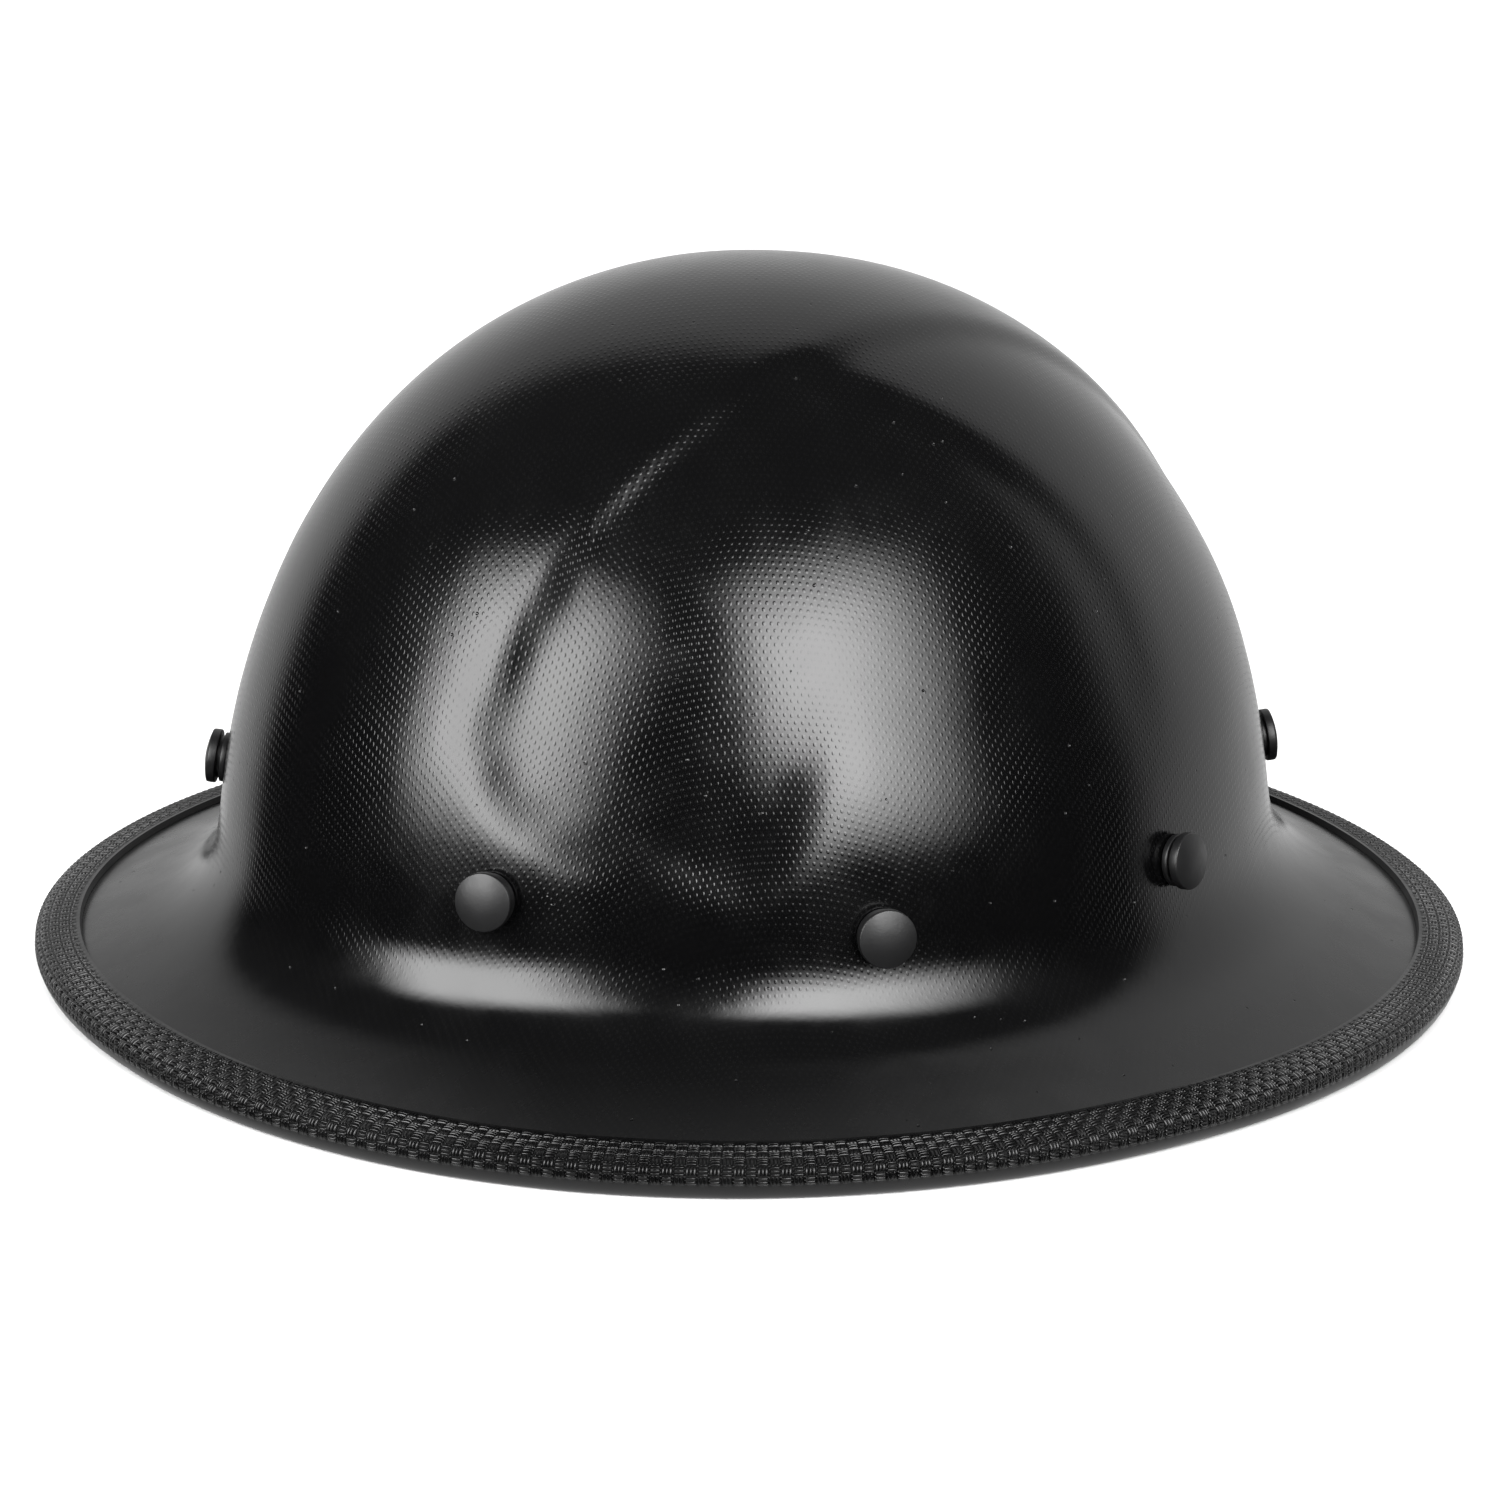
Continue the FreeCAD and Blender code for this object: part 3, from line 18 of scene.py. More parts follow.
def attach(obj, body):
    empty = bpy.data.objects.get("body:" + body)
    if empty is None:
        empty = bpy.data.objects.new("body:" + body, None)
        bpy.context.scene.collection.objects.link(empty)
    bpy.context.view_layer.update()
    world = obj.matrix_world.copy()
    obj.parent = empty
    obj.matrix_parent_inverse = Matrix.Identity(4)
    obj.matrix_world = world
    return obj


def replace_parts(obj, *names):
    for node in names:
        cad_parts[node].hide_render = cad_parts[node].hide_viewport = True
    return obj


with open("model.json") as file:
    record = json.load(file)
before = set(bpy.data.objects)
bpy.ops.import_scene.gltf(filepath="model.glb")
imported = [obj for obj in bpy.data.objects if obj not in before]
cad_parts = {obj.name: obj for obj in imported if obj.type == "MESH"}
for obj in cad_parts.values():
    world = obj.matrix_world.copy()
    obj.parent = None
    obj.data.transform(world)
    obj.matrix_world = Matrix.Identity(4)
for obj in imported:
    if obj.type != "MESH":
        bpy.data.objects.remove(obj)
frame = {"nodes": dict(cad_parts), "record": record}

LOG = logging.getLogger("fire_helmet")
MM = 0.001
Socket = bpy.types.NodeSocket


# ------------------------------------------------------------------------------ bench tools
def clear_selection() -> None:
    """Deselects everything, so that an operator acts on one piece only."""
    if bpy.context.object and bpy.context.object.mode != "OBJECT":
        bpy.ops.object.mode_set(mode="OBJECT")
    bpy.ops.object.select_all(action="DESELECT")


def pick(piece: bpy.types.Object) -> bpy.types.Object:
    """Makes one piece the selected and active one.

    Args:
        piece: the object to work on.

    Returns:
        The same object.
    """
    clear_selection()
    piece.select_set(True)
    bpy.context.view_layer.objects.active = piece
    return piece


def apply_place(piece: bpy.types.Object) -> None:
    """Moves a piece's place, turn and size into its mesh."""
    pick(piece)
    bpy.ops.object.transform_apply(location=True, rotation=True, scale=True)


def apply_modifier(piece: bpy.types.Object, kind: str, **settings: object) -> None:
    """Adds a modifier to a piece and applies it.

    Args:
        piece: the object that gets the modifier.
        kind: the modifier's type.
        settings: its properties.
    """
    pick(piece)
    modifier = piece.modifiers.new(kind.title(), kind)
    for key, value in settings.items():
        setattr(modifier, key, value)
    bpy.ops.object.modifier_apply(modifier=modifier.name)


def shade(piece: bpy.types.Object, angle_deg: float = 40.0) -> None:
    """Smooth shading that keeps edges sharper than an angle."""
    pick(piece)
    bpy.ops.object.shade_smooth_by_angle(angle=math.radians(angle_deg))


def close_up(piece: bpy.types.Object) -> None:
    """Merges a piece's doubled points and turns all its faces outwards."""
    pick(piece)
    bpy.ops.object.mode_set(mode="EDIT")
    bpy.ops.mesh.select_all(action="SELECT")
    bpy.ops.mesh.remove_doubles(threshold=1e-6)
    bpy.ops.mesh.normals_make_consistent(inside=False)
    bpy.ops.object.mode_set(mode="OBJECT")


def joined(pieces: list[bpy.types.Object], name: str) -> bpy.types.Object:
    """Joins pieces into the first one and names it.

    Args:
        pieces: the objects to join.
        name: the joined piece's name.

    Returns:
        The joined object.
    """
    clear_selection()
    for piece in pieces:
        piece.select_set(True)
    bpy.context.view_layer.objects.active = pieces[0]
    if len(pieces) > 1:
        bpy.ops.object.join()
    pieces[0].name = pieces[0].data.name = name
    return pieces[0]


def net(name: str, points: np.ndarray, wrap: bool = True) -> bpy.types.Object:
    """Grid primitive that is pulled on to a net of points.

    Args:
        name: the new piece's name.
        points: rows by columns by 3, in metres.
        wrap: whether the last column joins the first.

    Returns:
        The new object, with a "place" UV map that runs 0 to 1 along both ways of the net.
    """
    if wrap:
        points = np.concatenate([points, points[:, :1]], axis=1)
    rows, columns = points.shape[0] - 1, points.shape[1] - 1
    clear_selection()
    bpy.ops.mesh.primitive_grid_add(x_subdivisions=columns, y_subdivisions=rows, size=1.0)
    piece = bpy.context.object
    piece.name = piece.data.name = name
    mesh = piece.data
    flat = np.zeros(len(mesh.vertices) * 3)
    mesh.vertices.foreach_get("co", flat)
    flat = flat.reshape(-1, 3)
    column = np.rint((flat[:, 0] + 0.5) * columns).astype(int)
    row = np.rint((flat[:, 1] + 0.5) * rows).astype(int)
    mesh.vertices.foreach_set("co", points[row, column].ravel())
    mesh.uv_layers[0].name = "place"
    mesh.update()
    return piece


def net_cells(piece: bpy.types.Object, rows: int, columns: int) -> tuple[np.ndarray, np.ndarray]:
    """Row and column of each face corner of a piece made by net()."""
    place = np.zeros(len(piece.data.loops) * 2)
    piece.data.uv_layers["place"].data.foreach_get("uv", place)
    place = place.reshape(-1, 2)
    return np.rint(place[:, 1] * rows).astype(int), np.rint(place[:, 0] * columns).astype(int)


def add_uv(piece: bpy.types.Object, name: str, across: np.ndarray, along: np.ndarray) -> None:
    """Adds a UV map to a piece made by net().

    Args:
        piece: the piece.
        name: the new map's name.
        across: first coordinate, rows by columns of the net.
        along: second coordinate, as many.
    """
    cells = net_cells(piece, across.shape[0] - 1, across.shape[1] - 1)
    found = np.stack([across[cells], along[cells]], -1).astype(np.float32)
    piece.data.uv_layers.new(name=name).data.foreach_set("uv", found.ravel())


def store(piece: bpy.types.Object, name: str, values: np.ndarray) -> None:
    """Stores a number on each of a piece's points, in the mesh's own order."""
    piece.data.attributes.new(name, "FLOAT", "POINT").data.foreach_set("value", values.astype(np.float32))


def mark(piece: bpy.types.Object, name: str, values: np.ndarray) -> None:
    """Stores a number on each point of a piece made by net().

    Args:
        piece: the piece.
        name: the new attribute's name.
        values: rows by columns of the net.
    """
    row, column = net_cells(piece, values.shape[0] - 1, values.shape[1] - 1)
    corner = np.zeros(len(piece.data.loops), dtype=int)
    piece.data.loops.foreach_get("vertex_index", corner)
    found = np.zeros(len(piece.data.vertices))
    found[corner] = values[row, column]
    store(piece, name, found)


def copies(pattern: bpy.types.Object, places: list[Matrix], name: str) -> bpy.types.Object:
    """Copies a pattern to many places as one piece and removes the pattern.

    Args:
        pattern: the piece to copy.
        places: where the copies go.
        name: the new piece's name.

    Returns:
        The copies, joined.
    """
    made = []
    for place in places:
        copy = bpy.data.objects.new(name, pattern.data.copy())
        bpy.context.scene.collection.objects.link(copy)
        copy.data.transform(place)
        made.append(copy)
    bpy.data.objects.remove(pattern)
    return joined(made, name)


def spline(points: np.ndarray, samples: np.ndarray, degree: int = 3, closed: bool = False) -> np.ndarray:
    """Points of a uniform B-spline.

    Args:
        points: control points by any number of further axes.
        samples: parameters from 0 to 1.
        degree: the spline's degree.
        closed: whether the spline is periodic; otherwise it starts and ends on its end points.

    Returns:
        Samples by the further axes.
    """
    count = len(points)
    if closed:
        points = np.concatenate([points, points[:degree]])
        knots = np.arange(count + 2 * degree + 1) - degree
        where = samples * count
        points = np.roll(points[:count], (degree - 1) // 2, axis=0)
        points = np.concatenate([points, points[:degree]])
    else:
        inner = count - degree
        knots = np.concatenate([np.zeros(degree), np.arange(inner + 1), np.full(degree, inner)])
        where = np.minimum(samples * inner, inner - 1e-9)
    weights = [((knots[k] <= where) & (where < knots[k + 1])).astype(float) for k in range(len(knots) - 1)]
    for order in range(1, degree + 1):
        raised = []
        for k in range(len(weights) - 1):
            total = np.zeros_like(where)
            if knots[k + order] > knots[k]:
                total += (where - knots[k]) / (knots[k + order] - knots[k]) * weights[k]
            if knots[k + order + 1] > knots[k + 1]:
                total += ((knots[k + order + 1] - where) / (knots[k + order + 1] - knots[k + 1])
                          * weights[k + 1])
            raised.append(total)
        weights = raised
    return np.tensordot(np.array(weights[:len(points)]).T, points, axes=1)


def smooth(t: np.ndarray) -> np.ndarray:
    """Cubic step from 0 to 1."""
    t = np.clip(t, 0.0, 1.0)
    return t * t * (3 - 2 * t)


# ------------------------------------------------------------------------------ shader bench
class Nodes:
    """A node tree, with short calls for the nodes that materials, lights and the world share."""

    def __init__(self, tree: bpy.types.NodeTree) -> None:
        """Takes the tree that the nodes are added to.

        Args:
            tree: the node tree.
        """
        self.tree = tree

    def node(self, kind: str, **settings: object) -> bpy.types.Node:
        """Adds a node and sets its properties.

        Args:
            kind: the node's type name after "ShaderNode".
            settings: its properties.

        Returns:
            The new node.
        """
        added = self.tree.nodes.new("ShaderNode" + kind)
        for key, value in settings.items():
            setattr(added, key, value)
        return added

    def feed(self, socket: Socket, value: Socket | float | tuple) -> None:
        """Links or sets one input."""
        if isinstance(value, bpy.types.NodeSocket):
            self.tree.links.new(value, socket)
        else:
            socket.default_value = value

    def math(self, operation: str, *values: Socket | float, clamp: bool = False) -> Socket:
        """Result of a Math node."""
        added = self.node("Math", operation=operation, use_clamp=clamp)
        for socket, value in zip(added.inputs, values):
            self.feed(socket, value)
        return added.outputs[0]

    def times(self, *values: Socket | float) -> Socket:
        """Product of two values."""
        return self.math("MULTIPLY", *values)

    def remap(self, value: Socket, low: float, high: float, to_low: float, to_high: float,
              kind: str = "LINEAR") -> Socket:
        """Value stretched from one range to another, and held inside it."""
        added = self.node("MapRange", clamp=True, interpolation_type=kind)
        for socket, number in zip(added.inputs[:5], (value, low, high, to_low, to_high)):
            self.feed(socket, number)
        return added.outputs[0]


class Recipe(Nodes):
    """One material's nodes, with short calls for what the finishes share."""

    def __init__(self, name: str) -> None:
        """Starts a material with its main shader.

        Args:
            name: the material's name.
        """
        self.material = bpy.data.materials.new(name)
        self.material.use_nodes = True
        super().__init__(self.material.node_tree)
        self.shader = self.tree.nodes["Principled BSDF"]

    def fix(self, **values: object) -> None:
        """Sets constants on the main shader's own sockets; underscores stand for spaces."""
        for key, value in values.items():
            self.shader.inputs[key.replace("_", " ")].default_value = value

    def drive(self, socket: str, source: Socket) -> None:
        """Links a socket of the main shader to a source."""
        self.tree.links.new(source, self.shader.inputs[socket])

    def ripple(self, value: Socket, per_metre: float) -> Socket:
        """Row of rounded ridges, from 0 between them to 1 on their tops."""
        return self.math("ABSOLUTE", self.math("SINE", self.times(value, math.pi * per_metre)))

    def colour(self, share: Socket, dark: tuple, light: tuple) -> None:
        """Colours the surface between two tones."""
        self.drive("Base Color", self.tint(share, dark, light))

    def place(self) -> Socket:
        """The piece's own coordinates, in metres."""
        return self.node("TexCoord").outputs["Object"]

    def uv(self, name: str) -> tuple[Socket, Socket]:
        """The two coordinates of a named UV map."""
        split = self.node("SeparateXYZ")
        self.tree.links.new(self.node("UVMap", uv_map=name).outputs[0], split.inputs[0])
        return split.outputs[0], split.outputs[1]

    def attribute(self, name: str) -> Socket:
        """A number that is stored on the piece's points."""
        return self.node("Attribute", attribute_name=name).outputs["Fac"]

    def noise(self, vector: Socket, size: float, detail: float = 3.0, rough: float = 0.55) -> Socket:
        """Noise whose features are about a size in metres."""
        added = self.node("TexNoise")
        self.feed(added.inputs["Vector"], vector)
        self.feed(added.inputs["Scale"], 1 / size)
        self.feed(added.inputs["Detail"], detail)
        self.feed(added.inputs["Roughness"], rough)
        return added.outputs["Fac"]

    def cells(self, vector: Socket, size: float, feature: str = "F1") -> Socket:
        """Distance in a cell pattern whose cells are about a size in metres."""
        added = self.node("TexVoronoi", feature=feature)
        self.feed(added.inputs["Vector"], vector)
        self.feed(added.inputs["Scale"], 1 / size)
        return added.outputs["Distance"]

    def blend(self, share: Socket | float, first: Socket | float, second: Socket | float) -> Socket:
        """Number that goes from the first to the second as the share goes from 0 to 1."""
        added = self.node("Mix", data_type="FLOAT")
        for socket, value in zip((added.inputs[0], added.inputs[2], added.inputs[3]), (share, first, second)):
            self.feed(socket, value)
        return added.outputs[0]

    def tint(self, share: Socket, dark: tuple, light: tuple) -> Socket:
        """Colour between two as the share goes from 0 to 1."""
        added = self.node("Mix", data_type="RGBA")
        self.feed(added.inputs[0], share)
        self.feed(added.inputs[6], (*dark, 1.0))
        self.feed(added.inputs[7], (*light, 1.0))
        return added.outputs[2]

    def bump(self, height: Socket, depth: float, strength: float = 1.0) -> None:
        """Raises the surface by a height from 0 to 1, over what was raised before."""
        added = self.node("Bump")
        self.feed(added.inputs["Strength"], strength)
        self.feed(added.inputs["Distance"], depth)
        self.feed(added.inputs["Height"], height)
        before = self.shader.inputs["Normal"].links
        if before:
            self.tree.links.new(before[0].from_socket, added.inputs["Normal"])
        self.drive("Normal", added.outputs[0])


# ------------------------------------------------------------------------------ finishes
class Maker:
    """A finish that becomes a material."""

    def make(self) -> bpy.types.Material:
        """Builds the material.

        Returns:
            The finished material.
        """
        recipe = Recipe(self.name)
        self.paint(recipe)
        return recipe.material


@dataclass(frozen=True)
class WovenLaminate(Maker):
    """Black resin over plain-woven glass cloth, whose thread crossings stand out as small knuckles."""

    name: str = "woven_laminate"
    pitch_across: float = 0.82 * MM
    pitch_down: float = 1.456 * MM
    relief: float = 0.034 * MM
    dark: tuple = (0.0012, 0.0012, 0.0013)
    light: tuple = (0.0030, 0.0030, 0.0031)
    crown_roughness: float = 0.13
    brim_roughness: float = 0.27

    def knuckles(self, recipe: Recipe) -> Socket:
        """Height of the cloth's raised crossings, from 0 between them to 1 on their tops."""
        u, v = recipe.uv("cloth")
        wander = recipe.math("SUBTRACT", recipe.noise(recipe.place(), 12 * MM, 2.0), 0.5)
        waves = []
        for axis, pitch in ((u, self.pitch_across), (v, self.pitch_down)):
            moved = recipe.math("ADD", axis, recipe.times(wander, 0.8 * pitch))
            waves.append(recipe.math("SINE", recipe.times(moved, math.pi / pitch)))
        rounded = recipe.times(waves[0], recipe.math("POWER", waves[1], 3.0))
        return recipe.remap(rounded, 0.02, 0.9, 0.0, 1.0, "SMOOTHSTEP")

    def paint(self, recipe: Recipe) -> None:
        """Adds the finish's own nodes."""
        place = recipe.place()
        knuckles = self.knuckles(recipe)
        shown = recipe.attribute("weave")
        patches = recipe.noise(place, 38 * MM, 3.0)
        cloudy = recipe.noise(place, 14 * MM, 4.0, 0.6)
        fine = recipe.noise(place, 0.9 * MM, 3.0, 0.65)
        filled = recipe.remap(patches, 0.36, 0.64, 0.45, 1.0)
        height = recipe.times(recipe.times(knuckles, shown), filled)
        recipe.bump(height, self.relief)
        recipe.bump(cloudy, 0.12 * MM, 0.5)
        recipe.bump(fine, 0.012 * MM, 0.5)
        pits = recipe.remap(recipe.cells(place, 6.5 * MM), 0.025, 0.06, 0.0, 1.0)
        recipe.bump(pits, 0.2 * MM, 0.8)
        recipe.colour(recipe.times(knuckles, cloudy), self.dark, self.light)
        rough = recipe.blend(recipe.attribute("polish"), self.brim_roughness, self.crown_roughness)
        recipe.drive("Roughness", recipe.math("ADD", rough, recipe.remap(cloudy, 0.35, 0.65, -0.02, 0.05)))
        recipe.fix(IOR=1.45)


@dataclass(frozen=True)
class EmbossedRubber(Maker):
    """Moulded black rubber with a basket grain of short parallel bars."""

    name: str = "embossed_rubber"
    bars: float = 3.0
    bar_depth: float = 0.55 * MM
    dark: tuple = (0.0005, 0.0005, 0.0006)
    light: tuple = (0.0024, 0.0024, 0.0025)
    roughness: float = 0.18

    def paint(self, recipe: Recipe) -> None:
        """Adds the finish's own nodes."""
        u, v = recipe.uv("basket")
        shown = recipe.attribute("emboss")
        square = recipe.math("ADD", recipe.math("FLOOR", u), recipe.math("FLOOR", v))
        lying = recipe.math("GREATER_THAN", recipe.math("MODULO", square, 2.0), 0.5)
        bars = recipe.blend(lying, recipe.ripple(u, self.bars), recipe.ripple(v, self.bars))
        ends = recipe.blend(lying, recipe.math("FRACT", v), recipe.math("FRACT", u))
        from_end = recipe.math("SUBTRACT", 0.5, recipe.math("ABSOLUTE", recipe.math("SUBTRACT", ends, 0.5)))
        closed = recipe.remap(from_end, 0.0, 0.14, 0.0, 1.0)
        height = recipe.times(recipe.times(recipe.math("POWER", bars, 0.75), closed), shown)
        place = recipe.place()
        wear_and_sheen = recipe.noise(place, 24 * MM, 4.0)
        fine = recipe.noise(place, 0.5 * MM, 2.0)
        recipe.bump(height, self.bar_depth)
        recipe.bump(fine, 0.012 * MM, 0.6)
        # painted highlight: the bar tops are coloured lighter than the gaps between them, most where the wear
        # noise is high; that noise also makes the rubber rougher
        recipe.colour(recipe.times(height, wear_and_sheen), self.dark, self.light)
        rough = recipe.blend(height, self.roughness + 0.14, self.roughness)
        recipe.drive("Roughness", recipe.math("ADD", rough, recipe.remap(wear_and_sheen, 0.3, 0.7, -0.05, 0.12)))
        recipe.fix(IOR=1.5)


@dataclass(frozen=True)
class MouldedNylon(Maker):
    """Matte moulded nylon with spark-eroded grain and rubbed high spots."""

    name: str = "moulded_nylon"
    dark: tuple = (0.008, 0.008, 0.0085)
    light: tuple = (0.016, 0.016, 0.017)
    roughness: float = 0.48
    grain: float = 0.55 * MM
    grain_depth: float = 0.035 * MM

    def paint(self, recipe: Recipe) -> None:
        """Adds the finish's own nodes."""
        place = recipe.place()
        grain = recipe.noise(place, self.grain, 3.0, 0.6)
        rubbed = recipe.noise(place, 7 * MM, 5.0, 0.65)
        recipe.bump(grain, self.grain_depth, 0.8)
        recipe.colour(recipe.remap(rubbed, 0.35, 0.7, 0.0, 1.0), self.dark, self.light)
        dull, glossy = self.roughness + 0.08, self.roughness - 0.08
        recipe.drive("Roughness", recipe.remap(rubbed, 0.3, 0.7, dull, glossy))
        recipe.fix(IOR=1.5)


@dataclass(frozen=True)
class FlexibleBand(Maker):
    """Semi-gloss flexible plastic with flow lines along the band and faint scratches."""

    name: str = "flexible_band"
    dark: tuple = (0.010, 0.010, 0.011)
    light: tuple = (0.022, 0.022, 0.023)

    def paint(self, recipe: Recipe) -> None:
        """Adds the finish's own nodes."""
        place = recipe.place()
        lines = self.stretched(recipe, place, (1 / 14, 1 / 14, 1.0), 1.1 * MM)
        scratches = self.stretched(recipe, place, (0.2, 0.2, 1.0), 0.35 * MM)
        scratches = recipe.remap(scratches, 0.62, 0.7, 0.0, 1.0)
        recipe.bump(lines, 0.04 * MM, 0.6)
        recipe.bump(recipe.noise(place, 0.4 * MM, 2.0), 0.02 * MM, 0.7)
        recipe.colour(scratches, self.dark, self.light)
        recipe.drive("Roughness", recipe.math("ADD", recipe.remap(lines, 0.3, 0.7, 0.33, 0.45),
                                              recipe.times(scratches, 0.15)))
        recipe.fix(IOR=1.49)

    @staticmethod
    def stretched(recipe: Recipe, place: Socket, scale: tuple, size: float) -> Socket:
        """Noise drawn out along the band."""
        mapping = recipe.node("Mapping")
        recipe.feed(mapping.inputs["Vector"], place)
        recipe.feed(mapping.inputs["Scale"], scale)
        return recipe.noise(mapping.outputs[0], size, 3.0)


@dataclass(frozen=True)
class PlatedSteel(Maker):
    """Zinc-plated spring steel with brushed grain and dull spots."""

    name: str = "plated_steel"
    colour: tuple = (0.46, 0.46, 0.48)
    dull: tuple = (0.28, 0.28, 0.29)

    def paint(self, recipe: Recipe) -> None:
        """Adds the finish's own nodes."""
        place = recipe.place()
        spots = recipe.noise(place, 2.2 * MM, 5.0, 0.7)
        grain = recipe.noise(place, 0.25 * MM, 2.0)
        recipe.colour(recipe.remap(spots, 0.4, 0.65, 0.0, 1.0), self.colour, self.dull)
        recipe.drive("Roughness", recipe.remap(spots, 0.3, 0.7, 0.24, 0.46))
        recipe.bump(grain, 0.01 * MM, 0.6)
        recipe.fix(Metallic=1.0)


@dataclass(frozen=True)
class PolyesterWebbing(Maker):
    """Flat woven strap: ribs across it, herringbone threads and bound edges."""

    name: str = "polyester_webbing"
    rib: float = 1.15 * MM
    thread: float = 0.9 * MM
    dark: tuple = (0.010, 0.010, 0.011)
    light: tuple = (0.045, 0.045, 0.048)

    def paint(self, recipe: Recipe) -> None:
        """Adds the finish's own nodes."""
        u, v = recipe.uv("woven")
        mirror = recipe.math("PINGPONG", v, 2.5 * self.thread)
        slant = [recipe.math("DIVIDE", axis, pitch) for axis, pitch in ((u, self.rib), (mirror, self.thread))]
        twill = recipe.ripple(recipe.math("ADD", *slant), 1)
        threads = recipe.ripple(v, 1 / self.thread)
        height = recipe.times(recipe.math("POWER", twill, 0.7), recipe.math("POWER", threads, 0.5))
        fuzz = recipe.noise(recipe.place(), 0.3 * MM, 3.0, 0.7)
        recipe.bump(height, 0.22 * MM)
        recipe.bump(fuzz, 0.06 * MM, 0.6)
        # painted shade and sheen: the grooves between ribs and threads are coloured darker and their tops
        # lighter, varied at random by the fuzz
        painted_shade_share = recipe.times(height, recipe.remap(fuzz, 0.2, 0.8, 0.5, 1.0))
        recipe.colour(painted_shade_share, self.dark, self.light)
        recipe.drive("Roughness", recipe.remap(height, 0.0, 1.0, 0.85, 0.6))
        recipe.fix(Sheen_Weight=0.25, Sheen_Roughness=0.4)


@dataclass(frozen=True)
class SweatCloth(Maker):
    """Knitted, brushed sweat cloth over soft foam."""

    name: str = "sweat_cloth"
    loop: float = 1.3 * MM
    dark: tuple = (0.008, 0.008, 0.009)
    light: tuple = (0.034, 0.034, 0.037)

    def paint(self, recipe: Recipe) -> None:
        """Adds the finish's own nodes."""
        place = recipe.place()
        loops = recipe.cells(place, self.loop)
        fuzz = recipe.noise(place, 0.35 * MM, 4.0, 0.7)
        wear_and_sheen = recipe.noise(place, 16 * MM, 3.0)
        height = recipe.remap(loops, 0.0, 0.7, 1.0, 0.0)
        recipe.bump(height, 0.3 * MM, 0.8)
        recipe.bump(fuzz, 0.1 * MM, 0.7)
        # painted shade and sheen: the gaps between the knit loops are coloured darker and the loop tops
        # lighter, the tops most in the worn patches
        share = recipe.times(height, recipe.remap(wear_and_sheen, 0.3, 0.7, 0.45, 1.0))
        recipe.colour(share, self.dark, self.light)
        recipe.drive("Roughness", recipe.remap(fuzz, 0.2, 0.8, 0.78, 0.95))
        recipe.fix(Sheen_Weight=0.4, Sheen_Roughness=0.5)


@dataclass(frozen=True)
class BeadFoam(Maker):
    """Moulded bead foam: flattened beads with fine seams and a skinned surface."""

    name: str = "bead_foam"
    bead: float = 3.4 * MM
    dark: tuple = (0.010, 0.010, 0.011)
    light: tuple = (0.034, 0.034, 0.036)

    def paint(self, recipe: Recipe) -> None:
        """Adds the finish's own nodes."""
        place = recipe.place()
        seams = recipe.remap(recipe.cells(place, self.bead, "DISTANCE_TO_EDGE"), 0.0, 0.16, 0.0, 1.0)
        bead = recipe.cells(place, self.bead)
        fine = recipe.noise(place, 0.45 * MM, 3.0)
        recipe.bump(seams, 0.22 * MM, 0.8)
        recipe.bump(fine, 0.05 * MM, 0.5)
        # painted shade: the seams between the beads are coloured darker, and painted highlight: each bead's
        # middle is coloured lighter
        share = recipe.times(seams, recipe.remap(bead, 0.0, 0.9, 1.0, 0.4))
        recipe.colour(share, self.dark, self.light)
        recipe.drive("Roughness", recipe.remap(fine, 0.2, 0.8, 0.5, 0.7))


class Finish(Enum):
    """The helmet's finishes, each named after the record's material slot that it dresses."""

    RESIN = "resin_shell"
    RUBBER = "edge_rubber"
    BUTTON = "button_nylon"
    STEEL = "plated_steel"
    SOCKET = "socket_nylon"
    KEY = "key_nylon"
    WEBBING = "webbing"
    PAD = "pad_fabric"
    FOAM = "liner_foam"
    BAND = "band_plastic"
    KNOB = "knob_plastic"


class Wardrobe:
    """Makes each finish once and dresses pieces in it."""

    def __init__(self) -> None:
        """Builds every material."""
        makers = {
            Finish.RESIN: WovenLaminate(),
            Finish.RUBBER: EmbossedRubber(),
            Finish.BUTTON: MouldedNylon("button_nylon", (0.0020, 0.0020, 0.0022), (0.0055, 0.0055, 0.0058),
                                        0.42, 0.7 * MM, 0.03 * MM),
            Finish.STEEL: PlatedSteel(),
            Finish.SOCKET: MouldedNylon("socket_nylon"),
            Finish.KEY: MouldedNylon("key_nylon", (0.018, 0.018, 0.019), (0.034, 0.034, 0.036), 0.44),
            Finish.WEBBING: PolyesterWebbing(),
            Finish.PAD: SweatCloth(),
            Finish.FOAM: BeadFoam(),
            Finish.BAND: FlexibleBand(),
            Finish.KNOB: MouldedNylon("knob_plastic", (0.012, 0.012, 0.013), (0.024, 0.024, 0.025), 0.4,
                                      0.8 * MM, 0.04 * MM),
        }
        self.materials = {finish: maker.make() for finish, maker in makers.items()}

    def dress(self, piece: bpy.types.Object, finish: Finish) -> None:
        """Gives a piece one finish all over."""
        piece.data.materials.clear()
        piece.data.materials.append(self.materials[finish])

    def dress_frame(self) -> int:
        """Gives every shown piece of the frame the finish that the record names.

        Returns:
            How many pieces were dressed.
        """
        slots = {row["node"]: row["material_slot"] for row in frame["record"]["subparts"]}
        shown = [node for node in frame["nodes"].values() if not node.hide_render]
        for node in shown:
            for slot in node.material_slots:
                slot.material = self.materials[Finish(slots[node.name])]
        return len(shown)


